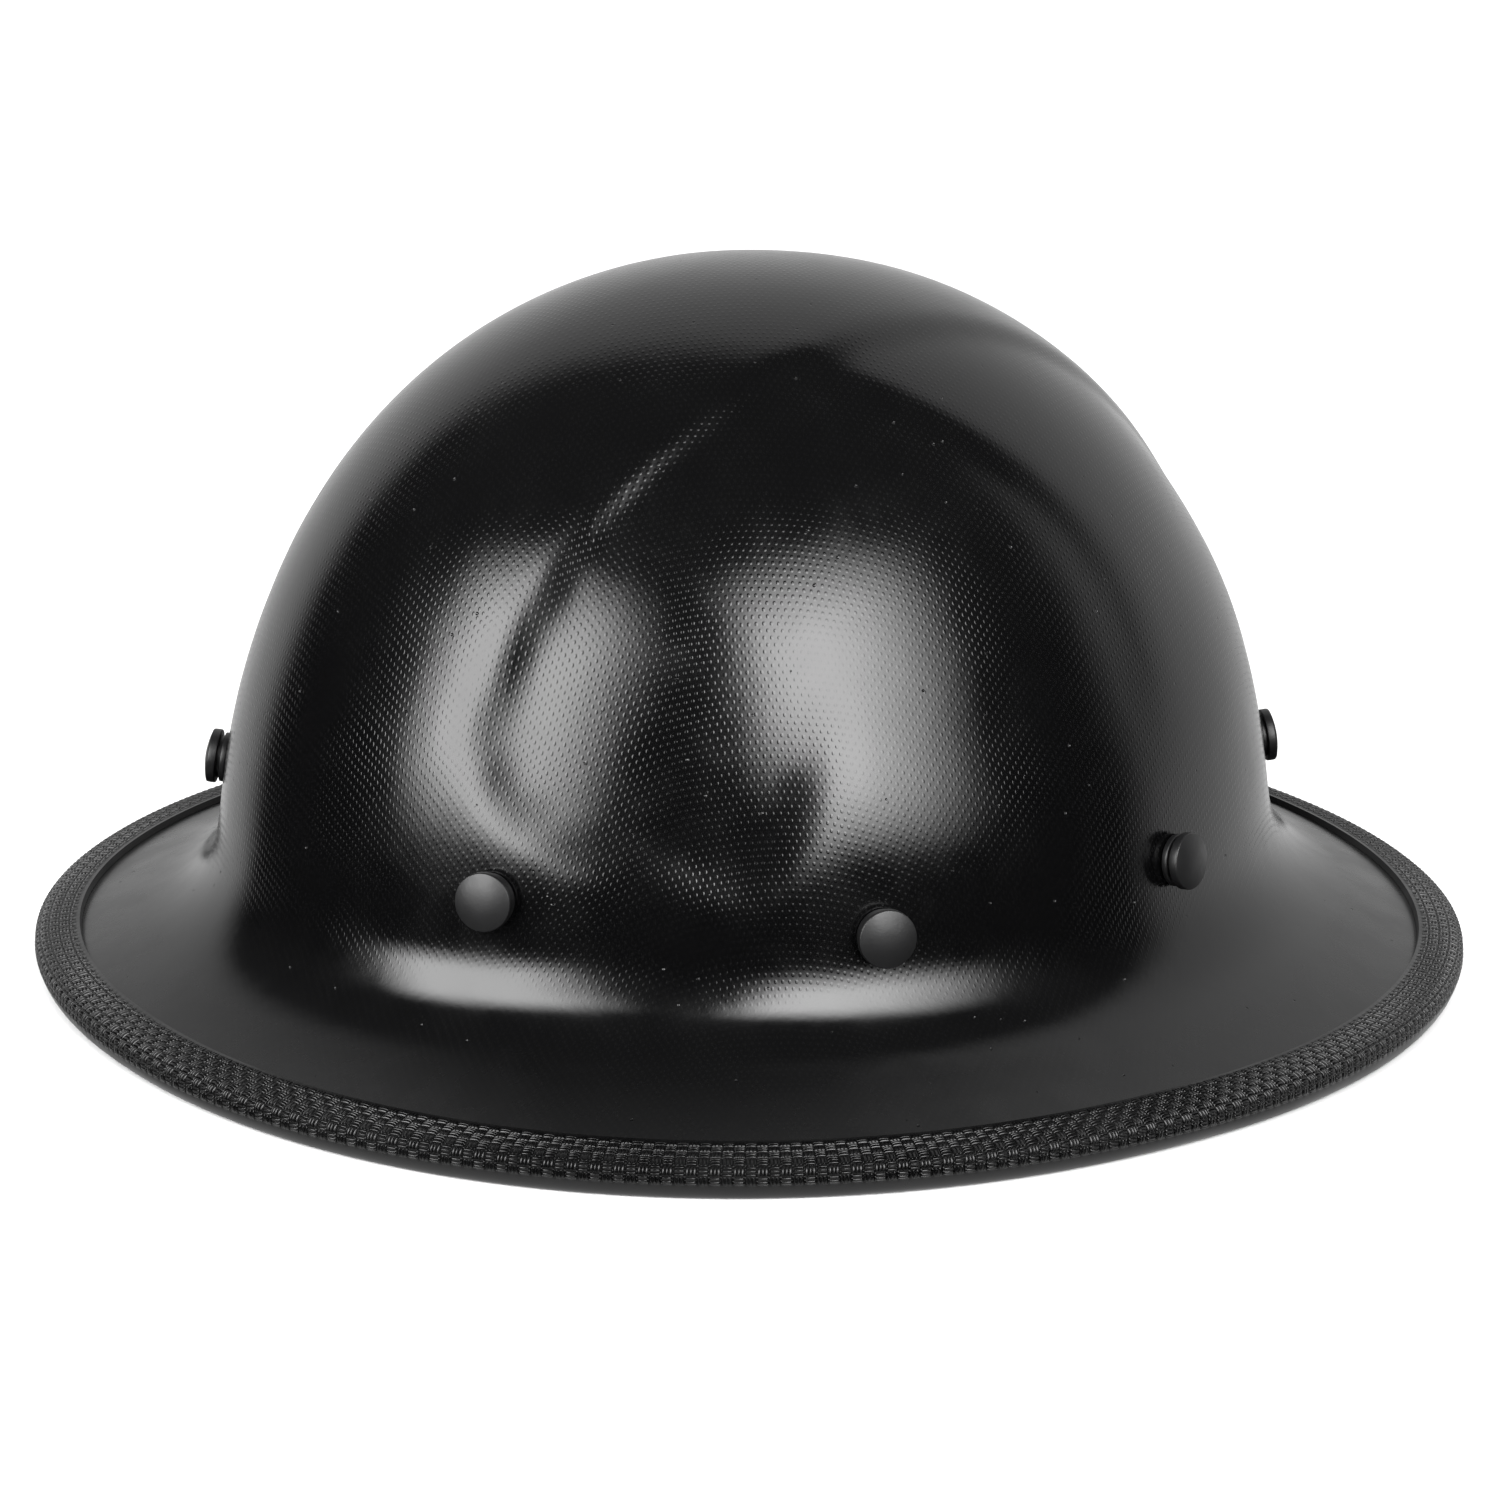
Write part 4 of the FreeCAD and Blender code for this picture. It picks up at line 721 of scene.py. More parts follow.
# ------------------------------------------------------------------------------ shell form
@dataclass(frozen=True)
class ShellForm:
    """The laminate's outer surface: crown, root fillet and brim, with two sunk side panels."""

    edge_height: float = 3.9 * MM
    edge_length: float = 324.8 * MM
    edge_width: float = 312.8 * MM
    brim_squareness: float = 2.09
    crown_length: float = 257.0 * MM
    crown_width: float = 230.6 * MM
    crown_squareness: float = 1.88
    crown_height: float = 156.3 * MM
    crown_lean: float = -2.3 * MM
    dome_height_power: float = 2.35
    dome_radius_power: float = 2.10
    wall: float = 2.4 * MM
    root_top: float = 31.0 * MM
    root_corner: float = 17.0 * MM
    flare: float = 1.5 * MM
    panel_depth: float = 2.6 * MM
    rear_share: float = 0.55
    band_front: float = 46.8 * MM
    band_rear: float = 26.8 * MM
    taper_start: float = -50.0 * MM
    taper_length: float = 150.0 * MM
    panel_corner: float = 18.0 * MM
    panel_floor: float = 51.4 * MM
    floor_from: float = 67.0 * MM
    floor_slope: float = 0.4
    panel_step: float = 7.0 * MM
    fade_width: float = 26.0 * MM
    fade_start: float = 52.0
    fade_span: float = 16.0
    fade_rise: float = 14.0 * MM
    ridge_y: float = 39.5 * MM
    ridge_bend_z: float = 65.0 * MM
    ridge_bend: float = 19.8 * MM
    ridge_soft: float = 14.0 * MM
    cloth_turn: float = 60.0
    columns: int = 120
    crown_rows: int = 42
    root_rows: int = 6
    brim_rows: int = 6

    @staticmethod
    def ring(angle: np.ndarray, length: float, width: float, power: float) -> np.ndarray:
        """Polar radius of a superellipse at angles from the front."""
        along = np.abs(np.cos(angle)) * 2 / length
        across = np.abs(np.sin(angle)) * 2 / width
        return (along ** power + across ** power) ** (-1 / power)

    def share(self, height: float) -> float:
        """Ring size at a height above the brim's edge, as a share of the base ring."""
        drop = (height / self.crown_height) ** self.dome_height_power
        return (1 - drop) ** (1 / self.dome_radius_power)

    def spot(self, angle: np.ndarray, radius: np.ndarray, height: np.ndarray) -> np.ndarray:
        """Points at polar angles, radii and heights above the brim's edge."""
        height = height + 0 * angle
        lean = self.crown_lean * height / self.crown_height
        return np.stack([radius * np.sin(angle), lean - radius * np.cos(angle), height + self.edge_height],
                        -1)

    def angles(self) -> np.ndarray:
        """The net's polar angles, from the rear."""
        return math.pi + 2 * math.pi * np.arange(self.columns) / self.columns

    def base(self, angle: np.ndarray) -> np.ndarray:
        """The crown's ring at the brim plane."""
        return self.ring(angle, self.crown_length, self.crown_width, self.crown_squareness)

    def plain(self) -> np.ndarray:
        """Net of the outer surface without its panels, from the apex to the brim's edge."""
        angle = self.angles()
        base = self.base(angle)
        last = math.acos((self.root_top / self.crown_height) ** (self.dome_height_power / 2))
        rows = []
        for index in range(self.crown_rows + 1):
            turn = last * index / self.crown_rows
            height = self.crown_height * math.cos(turn) ** (2 / self.dome_height_power)
            rows.append(self.spot(angle, math.sin(turn) ** (2 / self.dome_radius_power) * base, height))
        edge = self.ring(angle, self.edge_length, self.edge_width, self.brim_squareness)
        wall = base * self.share(self.root_top)
        step = 0.5 * MM
        lean_in = base * (self.share(self.root_top + step) - self.share(self.root_top - step)) / (2 * step)
        drop = self.root_top - self.root_corner
        corner = wall - lean_in * drop
        wall_run = np.hypot(corner - wall, drop)
        edge_top = self.wall / 2
        slope_run = np.hypot(edge - corner, self.root_corner - edge_top + self.flare)
        slope_r = (edge - corner) / slope_run
        slope_z = (edge_top - self.flare - self.root_corner) / slope_run
        end_r, end_z = corner + slope_r * wall_run, self.root_corner + slope_z * wall_run
        for index in range(1, self.root_rows + 1):
            t = index / self.root_rows
            start, middle = (1 - t) ** 2, 2 * t * (1 - t)
            rows.append(self.spot(angle, start * wall + middle * corner + t * t * end_r,
                                  start * self.root_top + middle * self.root_corner + t * t * end_z))
        left = slope_run - wall_run
        for index in range(1, self.brim_rows + 1):
            t = index / self.brim_rows
            rows.append(self.spot(angle, end_r + slope_r * left * t,
                                  end_z + slope_z * left * t + self.flare * t * t))
        return np.array(rows)

    @staticmethod
    def normals(rows: np.ndarray) -> np.ndarray:
        """Outward normals of a net that is closed round its columns."""
        around = np.roll(rows, -1, axis=1) - np.roll(rows, 1, axis=1)
        down = np.empty_like(rows)
        down[1:-1] = rows[2:] - rows[:-2]
        down[0], down[-1] = rows[1] - rows[0], rows[-1] - rows[-2]
        out = np.cross(down, around)
        out[0] = (0, 0, 1)
        return out / np.linalg.norm(out, axis=-1, keepdims=True)

    def sunk(self, points: np.ndarray) -> np.ndarray:
        """How far the side panels sink at points of the plain surface."""
        x, y, height = np.abs(points[..., 0]), points[..., 1], points[..., 2] - self.edge_height
        taper = smooth((y - self.taper_start) / self.taper_length)
        from_band = x - (self.band_front + (self.band_rear - self.band_front) * taper)
        ear = np.degrees(np.arctan2(x, -y))
        fade = smooth((ear - self.fade_start) / self.fade_span)
        floor = self.panel_floor - self.floor_slope * (x - self.floor_from) + self.fade_rise * fade
        from_floor = height - floor
        corner = self.panel_corner
        rounded = corner - np.hypot(corner - from_band, corner - from_floor)
        near = (from_band < corner) & (from_floor < corner)
        inside = np.where(near, rounded, np.minimum(from_band, from_floor))
        step = smooth(inside / self.panel_step)
        soft = smooth(from_floor / (self.panel_step + self.fade_width * fade))
        ridge = self.ridge_y - (np.maximum(0.0, height - self.ridge_bend_z) / self.ridge_bend) ** 3 * MM
        ahead = smooth((ridge - y + self.ridge_soft / 2) / self.ridge_soft)
        share = self.rear_share + (1 - self.rear_share) * ahead
        return np.where(height < self.root_top, 0.0, self.panel_depth * np.minimum(step, soft) * share)

    def surfaces(self) -> tuple[np.ndarray, np.ndarray, np.ndarray]:
        """The outer net, the inner net and the normals between them.

        Returns:
            Outer points, inner points and outward normals, each rows by columns by 3.
        """
        plain = self.plain()
        normals = self.normals(plain)
        outer = plain - normals * self.sunk(plain)[..., None]
        return outer, outer - normals * self.wall, normals

    def cloth(self, outer: np.ndarray) -> np.ndarray:
        """Thread coordinates of a cloth that is draped over the crown without stretching.

        Args:
            outer: the outer net.

        Returns:
            Rows by columns by 2: distances along the two threads, in metres.
        """
        steps = np.linalg.norm(np.diff(outer, axis=0), axis=-1)
        run = np.concatenate([np.zeros((1, outer.shape[1])), np.cumsum(steps, axis=0)])
        angle = self.angles() - math.radians(self.cloth_turn)
        x, y = run * np.sin(angle), -run * np.cos(angle)
        bend = 6 * (self.crown_width / 2) ** 2
        u, v = x.copy(), y.copy()
        for _ in range(12):
            u, v = x / (1 + v * v / bend), y / (1 + u * u / bend)
        return np.stack([u, v], -1)

    def local(self, angle_deg: float, height: float) -> Matrix:
        """Placement on the crown's outside: X sideways, Y up the wall, Z outwards."""
        angle = math.radians(angle_deg)

        def spot(a: float, h: float) -> Vector:
            return Vector(self.spot(np.array(a), self.base(np.array(a)) * self.share(h), np.array(h)))

        nudge = 0.1 * MM
        side = (spot(angle + nudge, height) - spot(angle - nudge, height)).normalized()
        up = (spot(angle, height + nudge) - spot(angle, height - nudge)).normalized()
        out = side.cross(up).normalized()
        matrix = Matrix((side, out.cross(side), out)).transposed().to_4x4()
        matrix.translation = spot(angle, height)
        return matrix


FORM = ShellForm()


# ------------------------------------------------------------------------------ outer pieces
@dataclass
class Shell:
    """The moulded laminate shell in one piece."""

    wall: float = FORM.wall
    weave_end: float = 0.01
    weave_fade: float = 0.05
    polish_end: float = 0.32
    polish_fade: float = 0.2
    smoothing: int = 1

    def build(self) -> bpy.types.Object:
        """Pulls a net on to the crown and brim, gives it its wall and smooths it.

        Returns:
            The finished shell.
        """
        outer, _, _ = FORM.surfaces()
        cloth = np.concatenate([FORM.cloth(outer), FORM.cloth(outer)[:, :1]], axis=1)
        piece = net("helmet_shell", outer)
        add_uv(piece, "cloth", cloth[..., 0], cloth[..., 1])
        self.mark_weave(piece)
        close_up(piece)
        apply_modifier(piece, "SOLIDIFY", thickness=self.wall, offset=-1.0)
        apply_modifier(piece, "SUBSURF", levels=self.smoothing, render_levels=self.smoothing)
        shade(piece, 60.0)
        return piece

    def mark_weave(self, piece: bpy.types.Object) -> None:
        """Stores how clearly the cloth shows and how polished the resin is: the most on the crown."""
        place = np.zeros(len(piece.data.vertices) * 3)
        piece.data.vertices.foreach_get("co", place)
        place = place.reshape(-1, 3)
        angle = np.arctan2(place[:, 0], -place[:, 1])
        inner = FORM.base(angle)
        outer = FORM.ring(angle, FORM.edge_length, FORM.edge_width, FORM.brim_squareness)
        out = (np.hypot(place[:, 0], place[:, 1]) - inner) / (outer - inner)
        for name, end, fade in (("weave", self.weave_end, self.weave_fade),
                                ("polish", self.polish_end, self.polish_fade)):
            store(piece, name, 1 - smooth((out - end + fade) / (2 * fade)))


@dataclass
class EdgeTrim:
    """Rubber edge section with an embossed basket grain, gripping the brim."""

    wall: float = 2.6 * MM
    grip: float = 8.6 * MM
    bulge: float = 4.2 * MM
    lip: float = 1.5 * MM
    slot_gap: float = 0.06 * MM
    foot_half: float = 1.3 * MM
    cells_round: int = 432
    cell: float = 2.35 * MM
    points_per_cell: int = 4
    relief: float = 0.32 * MM
    smooth_lip: float = 1.0 * MM
    grain_past_edge: float = 1.6 * MM

    def section(self) -> tuple[np.ndarray, np.ndarray, np.ndarray]:
        """Control nets of the top, the underside and the slot, each round the brim.

        Returns:
            Three arrays, columns by points by 3.
        """
        outer, inner, _ = FORM.surfaces()
        middle = (outer[-1] + inner[-1]) / 2
        back = (outer[-3] + inner[-3]) / 2 - middle
        back /= np.linalg.norm(back, axis=-1, keepdims=True)
        up = outer[-1] - inner[-1]
        up /= np.linalg.norm(up, axis=-1, keepdims=True)
        slot = FORM.wall / 2 + self.slot_gap
        lip = slot + self.lip

        def at(along: float, across: float) -> np.ndarray:
            return middle + back * along + up * across

        foot = at(0.0, -self.bulge)
        outwards = -back * (1, 1, 0)
        outwards *= self.foot_half / np.linalg.norm(outwards, axis=-1, keepdims=True)
        ground = np.array((1, 1, 0))
        top = [at(self.grip, lip), at(0.62 * self.grip, 1.25 * lip), at(0.3 * self.grip, self.bulge),
               at(0.0, self.bulge), at(-0.8 * self.wall, 0.86 * self.bulge), at(-1.2 * self.wall, 0.0),
               at(-0.9 * self.wall, -0.75 * self.bulge), (foot + outwards) * ground]
        below = [(foot - outwards) * ground, at(0.5 * self.grip, -1.2 * lip), at(self.grip, -lip)]
        inside = [at(self.grip, -slot), at(-self.slot_gap, -slot), at(-self.slot_gap, slot),
                  at(self.grip, slot)]
        return tuple(np.stack(part, axis=1) for part in (top, below, inside))

    def build(self) -> bpy.types.Object:
        """Runs the section round the brim and raises its grain.

        Returns:
            The finished trim.
        """
        round_count = self.cells_round * self.points_per_cell
        turns = np.arange(round_count) / round_count
        top, below, inside = (spline(part, turns, closed=True) for part in self.section())
        top = self.run(top, 3, self.points_per_cell)
        below = self.run(below, 2, 1)
        rows = np.concatenate([top, below, np.swapaxes(inside, 0, 1)])
        steps = np.linalg.norm(np.diff(rows, axis=0), axis=-1).mean(axis=1)
        lengths = np.concatenate([[0.0], np.cumsum(steps)])
        widest = lengths[np.argmax(np.hypot(rows[..., 0], rows[..., 1]).mean(axis=1))]
        across = lengths / self.cell
        shown = smooth((lengths - self.smooth_lip) / (0.4 * MM))
        shown = shown * smooth((widest + self.grain_past_edge - lengths) / (0.5 * MM))
        normals = -ShellForm.normals(rows)
        column, row = np.meshgrid(turns * self.cells_round, across)
        pillow = np.abs(np.sin(math.pi * column) * np.sin(math.pi * row)) ** 0.6
        out = np.sign(np.sum(normals[3] * (0, 0, 1)))
        rows = rows + normals * out * (self.relief * (pillow - 0.6) * shown[:, None])[..., None]
        rows[..., 2] = np.maximum(rows[..., 2], 0.0)
        rows = np.concatenate([rows, rows[:1]])
        piece = net("brim_edge_trim", rows)
        marks = np.concatenate([across, across[-1:]])
        strength = np.concatenate([shown, [0.0]])
        add_uv(piece, "basket", *np.meshgrid(np.linspace(0, self.cells_round, round_count + 1), marks))
        mark(piece, "emboss", np.repeat(strength[:, None], round_count + 1, axis=1))
        close_up(piece)
        shade(piece, 70.0)
        return piece

    def run(self, nets: np.ndarray, degree: int, per_cell: int) -> np.ndarray:
        """Evenly spaced rows along one stretch of the section.

        Args:
            nets: columns by control points by 3.
            degree: the stretch's spline degree.
            per_cell: how many rows fall on one cell of the grain.

        Returns:
            Rows by columns by 3.
        """
        fine = spline(np.swapaxes(nets, 0, 1), np.linspace(0, 1, 200), degree)
        run = np.concatenate([[0.0], np.cumsum(np.linalg.norm(np.diff(fine[:, 0], axis=0), axis=-1))])
        count = max(4, round(run[-1] / self.cell * per_cell))
        even = np.interp(np.linspace(0, run[-1], count + 1), run, np.linspace(0, 1, 200))
        return spline(np.swapaxes(nets, 0, 1), even, degree)


@dataclass
class Buttons:
    """Eight suspension buttons: a domed cap on a neck over a flange."""

    angles: tuple = (29.5, 70.0, 110.0, 160.0)
    heights: tuple = (40.0 * MM, 34.4 * MM, 37.4 * MM, 37.0 * MM)
    cap_radius: float = 6.2 * MM
    cap_rim: float = 2.0 * MM
    cap_dome: float = 1.1 * MM
    neck_radius: float = 4.9 * MM
    neck: float = 0.8 * MM
    flange_radius: float = 5.7 * MM
    flange: float = 1.6 * MM
    flange_lift: float = 0.25 * MM
    shank_radius: float = 2.8 * MM
    shank_end: float = -8.1 * MM
    sides: int = 64

    def disc(self, radius: float, low: float, high: float, dome: float = 0.0, edge: float = 0.3 * MM,
             recess: float = 0.0) -> bpy.types.Object:
        """Turned disc with an eased edge and, if asked, a domed top.

        Args:
            radius: the disc's radius.
            low: height of its underside.
            high: height of its rim.
            dome: how far the middle rises above the rim.
            edge: size of the eased edges.
            recess: depth of a shallow ring round the rim's inside.

        Returns:
            The disc, standing on local Z.
        """
        clear_selection()
        bpy.ops.mesh.primitive_cylinder_add(vertices=self.sides, radius=radius, depth=high - low,
                                            location=(0, 0, (high + low) / 2))
        piece = bpy.context.object
        apply_place(piece)
        bpy.ops.object.mode_set(mode="EDIT")
        bpy.ops.mesh.select_all(action="DESELECT")
        bpy.ops.object.mode_set(mode="OBJECT")
        for face in piece.data.polygons:
            face.select = face.normal.z > 0.9
        bpy.ops.object.mode_set(mode="EDIT")
        rings = 7 if dome else 2
        ball = (radius ** 2 + dome ** 2) / (2 * dome) if dome else 0.0
        at, risen = radius, 0.0
        for index in range(1, rings):
            inner = radius * math.cos(math.pi / 2 * index / rings)
            rise = math.sqrt(ball ** 2 - inner ** 2) - (ball - dome) if dome else 0.0
            bpy.ops.mesh.inset(thickness=at - inner, depth=0.0)
            bpy.ops.transform.translate(value=(0, 0, rise - risen - (recess if index == 1 else 0.0)))
            at, risen = inner, rise - (recess if index == 1 else 0.0)
        bpy.ops.mesh.select_all(action="DESELECT")
        bpy.ops.object.mode_set(mode="OBJECT")
        for line in piece.data.edges:
            ends = [piece.data.vertices[k].co for k in line.vertices]
            on_rim = all(abs(math.hypot(p.x, p.y) - radius) < 1e-5 for p in ends)
            line.select = on_rim and abs(ends[0].z - ends[1].z) < 1e-6
        bpy.ops.object.mode_set(mode="EDIT")
        bpy.ops.mesh.bevel(offset=edge, segments=4, affect="EDGES", profile=0.5)
        bpy.ops.object.mode_set(mode="OBJECT")
        return piece

    def model(self) -> bpy.types.Object:
        """One button on local Z, with its shank through the wall."""
        under = self.flange + self.neck
        rim = under + self.cap_rim
        parts = [self.disc(self.cap_radius, under, rim, self.cap_dome, 0.35 * MM),
                 self.disc(self.neck_radius, self.flange + 0.05 * MM, under + 0.1 * MM, 0.0, 0.02 * MM),
                 self.disc(self.flange_radius, self.flange_lift, self.flange, 0.0, 0.3 * MM),
                 self.disc(self.shank_radius, self.shank_end, self.flange + 0.06 * MM, 0.0, 0.1 * MM)]
        return joined(parts, "button")

    def build(self) -> list[bpy.types.Object]:
        """Models one button and copies it to its eight places.

        Returns:
            The eight buttons.
        """
        pattern = self.model()
        shade(pattern, 35.0)
        made = []
        for sign, side in ((1, "left"), (-1, "right")):
            for number, (angle, height) in enumerate(zip(self.angles, self.heights), 1):
                copy = pattern.copy()
                copy.data = pattern.data.copy()
                copy.name = copy.data.name = f"button_{side}_{number}"
                bpy.context.scene.collection.objects.link(copy)
                copy.data.transform(FORM.local(sign * angle, height))
                made.append(copy)
        bpy.data.objects.remove(pattern)
        return made


# ------------------------------------------------------------------------------ inner pieces
@dataclass
class Liner:
    """Moulded foam dome inside the crown, with vent grooves and an eased foot."""

    gap: float = 0.5 * MM
    thickness: float = 10.0 * MM
    foot_thickness: float = 5.0 * MM
    foot: float = 74.0 * MM
    taper: float = 30.0 * MM
    groove: float = 1.6 * MM
    groove_width: float = 5.0
    groove_count: int = 12
    rows: int = 26

    def build(self) -> bpy.types.Object:
        """Pulls a closed net on to the liner's outside, foot and inside.

        Returns:
            The finished liner.
        """
        outer, inner, normals = FORM.surfaces()
        height = outer[..., 2].mean(axis=1) - FORM.edge_height
        count = int(np.sum(height >= self.foot))
        share = np.linspace(0, 1, self.rows + 1) * (count - 1)
        low = np.floor(share).astype(int)
        part = (share - low)[:, None, None]
        inner, normals = (net_rows[low] * (1 - part) + net_rows[np.minimum(low + 1, count - 1)] * part
                          for net_rows in (inner, normals))
        height = (inner[..., 2] - FORM.edge_height)[..., None]
        gain = smooth((height - self.foot) / self.taper)
        thick = self.foot_thickness + (self.thickness - self.foot_thickness) * gain
        back = inner - normals * self.gap
        turn = np.degrees(np.arctan2(back[..., 0], -back[..., 1]))
        spacing = 360 / self.groove_count
        off = np.abs((turn + spacing / 2) % spacing - spacing / 2)[..., None]
        reach = np.linspace(0, 1, self.rows + 1)[:, None, None]
        vent = smooth((reach - 0.3) / 0.1) * smooth((0.96 - reach) / 0.08)
        vent = vent * smooth(1 - off / self.groove_width)
        face = back - normals * (thick - self.groove * vent)
        face[0], back[0] = face[0].mean(axis=0), back[0].mean(axis=0)
        lift = np.array((0, 0, 1)) * 1.2 * MM
        foot = [(0.15, 0.25), (0.5, 0.0), (0.85, 0.25)]
        bottom = [back[-1] * (1 - across) + face[-1] * across - lift * (1 - up) for across, up in foot]
        piece = net("foam_liner", np.concatenate([back[:-1], back[-1:] + lift * 0.2, np.array(bottom),
                                                  face[-1:] + lift * 0.2, face[-2::-1]]))
        close_up(piece)
        apply_modifier(piece, "SUBSURF", levels=1, render_levels=1)
        shade(piece, 50.0)
        return piece


@dataclass
class Harness:
    """Four webbing straps over the head, each looped through two keys and box-stitched."""

    width: float = 20.0 * MM
    thickness: float = 1.4 * MM
    stack: float = 3.2 * MM
    apex: float = 126.0 * MM
    depth: float = -12.25 * MM
    pairs: tuple = ((1, 6), (2, 5), (0, 7), (3, 4))
    curve: float = 2.4
    twist: float = 0.6
    steps: int = 36
    key_top: float = 24.0 * MM
    loop: tuple = ((-7.75, 20.5), (-7.75, 17.5), (-8.3, 15.4), (-10.0, 14.6), (-11.7, 15.4), (-12.25, 17.5),
                   (-12.25, 20.5))
    over_key: tuple = ((-10.1, 25.6), (-8.6, 23.8), (-7.8, 22.2))
    tail_lift: float = 1.5 * MM
    tail_end: int = 9
    selvedge: tuple = ((-1.0, 0.45), (-0.96, 0.9), (-0.5, 1.0), (0.0, 1.0), (0.5, 1.0), (0.96, 0.9),
                       (1.0, 0.45))
    box: tuple = (4.0 * MM, 15.0 * MM, 7.0 * MM)
    stitch_length: float = 2.3 * MM
    stitch_radii: tuple = (0.95 * MM, 0.28 * MM, 0.22 * MM)

    def frames(self) -> list[Matrix]:
        """The eight buttons' placements, left side first."""
        buttons = Buttons()
        return [FORM.local(sign * angle, height) for sign in (1, -1)
                for angle, height in zip(buttons.angles, buttons.heights)]

    def arch(self, layer: int, first: Matrix, second: Matrix) -> tuple[np.ndarray, np.ndarray]:
        """Centres and width directions of a strap between its two keys.

        Args:
            layer: the strap's place in the crossing, lowest first.
            first: placement of the button that the strap starts at.
            second: placement of the button that it ends at.

        Returns:
            Points by 3 of centres, and as many width directions.
        """
        ends = [np.array(place @ Vector((0, self.key_top, self.depth))) for place in (first, second)]
        run = (ends[1] - ends[0]) * (1, 1, 0)
        across = np.cross((0, 0, 1), run / np.linalg.norm(run))
        sides = [np.array(place.to_3x3() @ Vector((1, 0, 0))) for place in (first, second)]
        sides = [side * math.copysign(1, side @ across) for side in sides]
        apex, middle = self.apex + layer * self.stack, (ends[0] + ends[1]) / 2
        halves = []
        for end, side in zip(ends, sides):
            share = np.cos(math.pi / 2 * np.arange(self.steps + 1) / self.steps)[:, None]
            plan = (middle + (end - middle) * share) * (1, 1, 0)
            reach = np.minimum(np.linalg.norm(plan, axis=1, keepdims=True) / np.hypot(*end[:2]), 1.0)
            plan = plan + np.array((0, 0, 1)) * (end[2] + (apex - end[2]) * (1 - reach ** self.curve))
            turned = smooth((share - self.twist) / (1 - self.twist))
            wide = across * (1 - turned) + side * turned
            halves.append((plan, wide / np.linalg.norm(wide, axis=1, keepdims=True)))
        return tuple(np.concatenate([halves[0][k], halves[1][k][-2::-1]]) for k in (0, 1))

    def path(self, layer: int, first: Matrix, second: Matrix) -> tuple[np.ndarray, np.ndarray]:
        """A strap's whole line: tail, loop through the key, arch, loop and tail."""
        centres, wide = self.arch(layer, first, second)
        along = np.gradient(centres, axis=0)
        out = np.cross(along, wide)
        out *= np.sign(np.sum(out * centres, axis=1, keepdims=True))
        out /= np.linalg.norm(out, axis=1, keepdims=True)
        tail = centres + out * self.tail_lift
        parts = []
        for place, order in ((first, slice(None)), (second, slice(None, None, -1))):
            bend = [np.array(place @ Vector((0, y * MM, z * MM))) for z, y in self.over_key + self.loop]
            flap = tail[order][2:self.tail_end + 1][::-1]
            side = wide[order]
            turned = np.concatenate([side[2:self.tail_end + 1][::-1], np.repeat(side[:1], len(bend), axis=0)])
            parts.append((np.concatenate([flap, bend]), turned))
        return tuple(np.concatenate([parts[0][k], (centres, wide)[k], parts[1][k][::-1]]) for k in (0, 1))

    def strap(self, number: int, layer: int, first: Matrix, second: Matrix) -> bpy.types.Object:
        """One strap with rounded selvedges.

        Args:
            number: the strap's number in its name.
            layer: its place in the crossing.
            first: placement of its first button.
            second: placement of its second button.

        Returns:
            The strap.
        """
        points, sides = self.path(layer, first, second)
        samples = np.linspace(0, 1, 4 * len(points))
        centres, wide = spline(points, samples), spline(sides, samples)
        along = np.gradient(centres, axis=0)
        lean, length = (np.sum(along * other, axis=1, keepdims=True) for other in (wide, along))
        wide -= along * lean / length
        wide /= np.linalg.norm(wide, axis=1, keepdims=True)
        thick = np.cross(along, wide)
        thick /= np.linalg.norm(thick, axis=1, keepdims=True)
        half, rise = self.width / 2, self.thickness / 2
        section = list(self.selvedge) + [(x, -y) for x, y in self.selvedge[::-1]]
        rows = np.stack([centres + wide * half * x + thick * rise * y for x, y in section], axis=1)
        flat = np.stack([centres + wide * half * x for x, _ in section], axis=1)
        piece = net(f"crown_webbing_{number}", np.concatenate([flat[:1], rows, flat[-1:]]))
        run = np.cumsum(np.concatenate([[0.0, 0.0], np.linalg.norm(np.diff(centres, axis=0), axis=1), [0.0]]))
        over = np.array([x for x, _ in section] + [section[0][0]]) * half
        add_uv(piece, "woven", *np.meshgrid(run, over, indexing="ij"))
        close_up(piece)
        shade(piece, 60.0)
        return joined([piece, self.stitches(layer, first, second)], piece.name)

    def stitches(self, layer: int, first: Matrix, second: Matrix) -> bpy.types.Object:
        """Box stitching with a cross at both ends of a strap, on its inner face.

        Args:
            layer: the strap's place in the crossing.
            first: placement of its first button.
            second: placement of its second button.

        Returns:
            All the stitches of the strap as one piece.
        """
        centres, wide = self.arch(layer, first, second)
        places = []
        for order in (slice(None), slice(None, None, -1)):
            line, side = centres[order], wide[order]
            run = np.concatenate([[0.0], np.cumsum(np.linalg.norm(np.diff(line, axis=0), axis=1))])
            near, far, half = self.box
            corners = [(near, -half), (far, -half), (far, half), (near, half), (near, -half), (far, half),
                       (far, -half), (near, half)]
            for (s0, x0), (s1, x1) in zip(corners, corners[1:]):
                count = max(1, round(math.hypot(s1 - s0, x1 - x0) / self.stitch_length))
                for index in range(count):
                    t = (index + 0.5) / count
                    s, x = s0 + (s1 - s0) * t, x0 + (x1 - x0) * t
                    spot, across, ahead = (np.array([np.interp(far_on, run, grid[:, k]) for k in range(3)])
                                           for far_on, grid in ((s, line), (s, side), (s + MM, line)))
                    ahead -= spot
                    ahead /= np.linalg.norm(ahead)
                    inward = np.cross(ahead, across)
                    inward *= -math.copysign(1, inward @ spot)
                    heading = ahead * (s1 - s0) + across * (x1 - x0)
                    heading /= np.linalg.norm(heading)
                    spot = spot + across * x + inward * (self.thickness / 2)
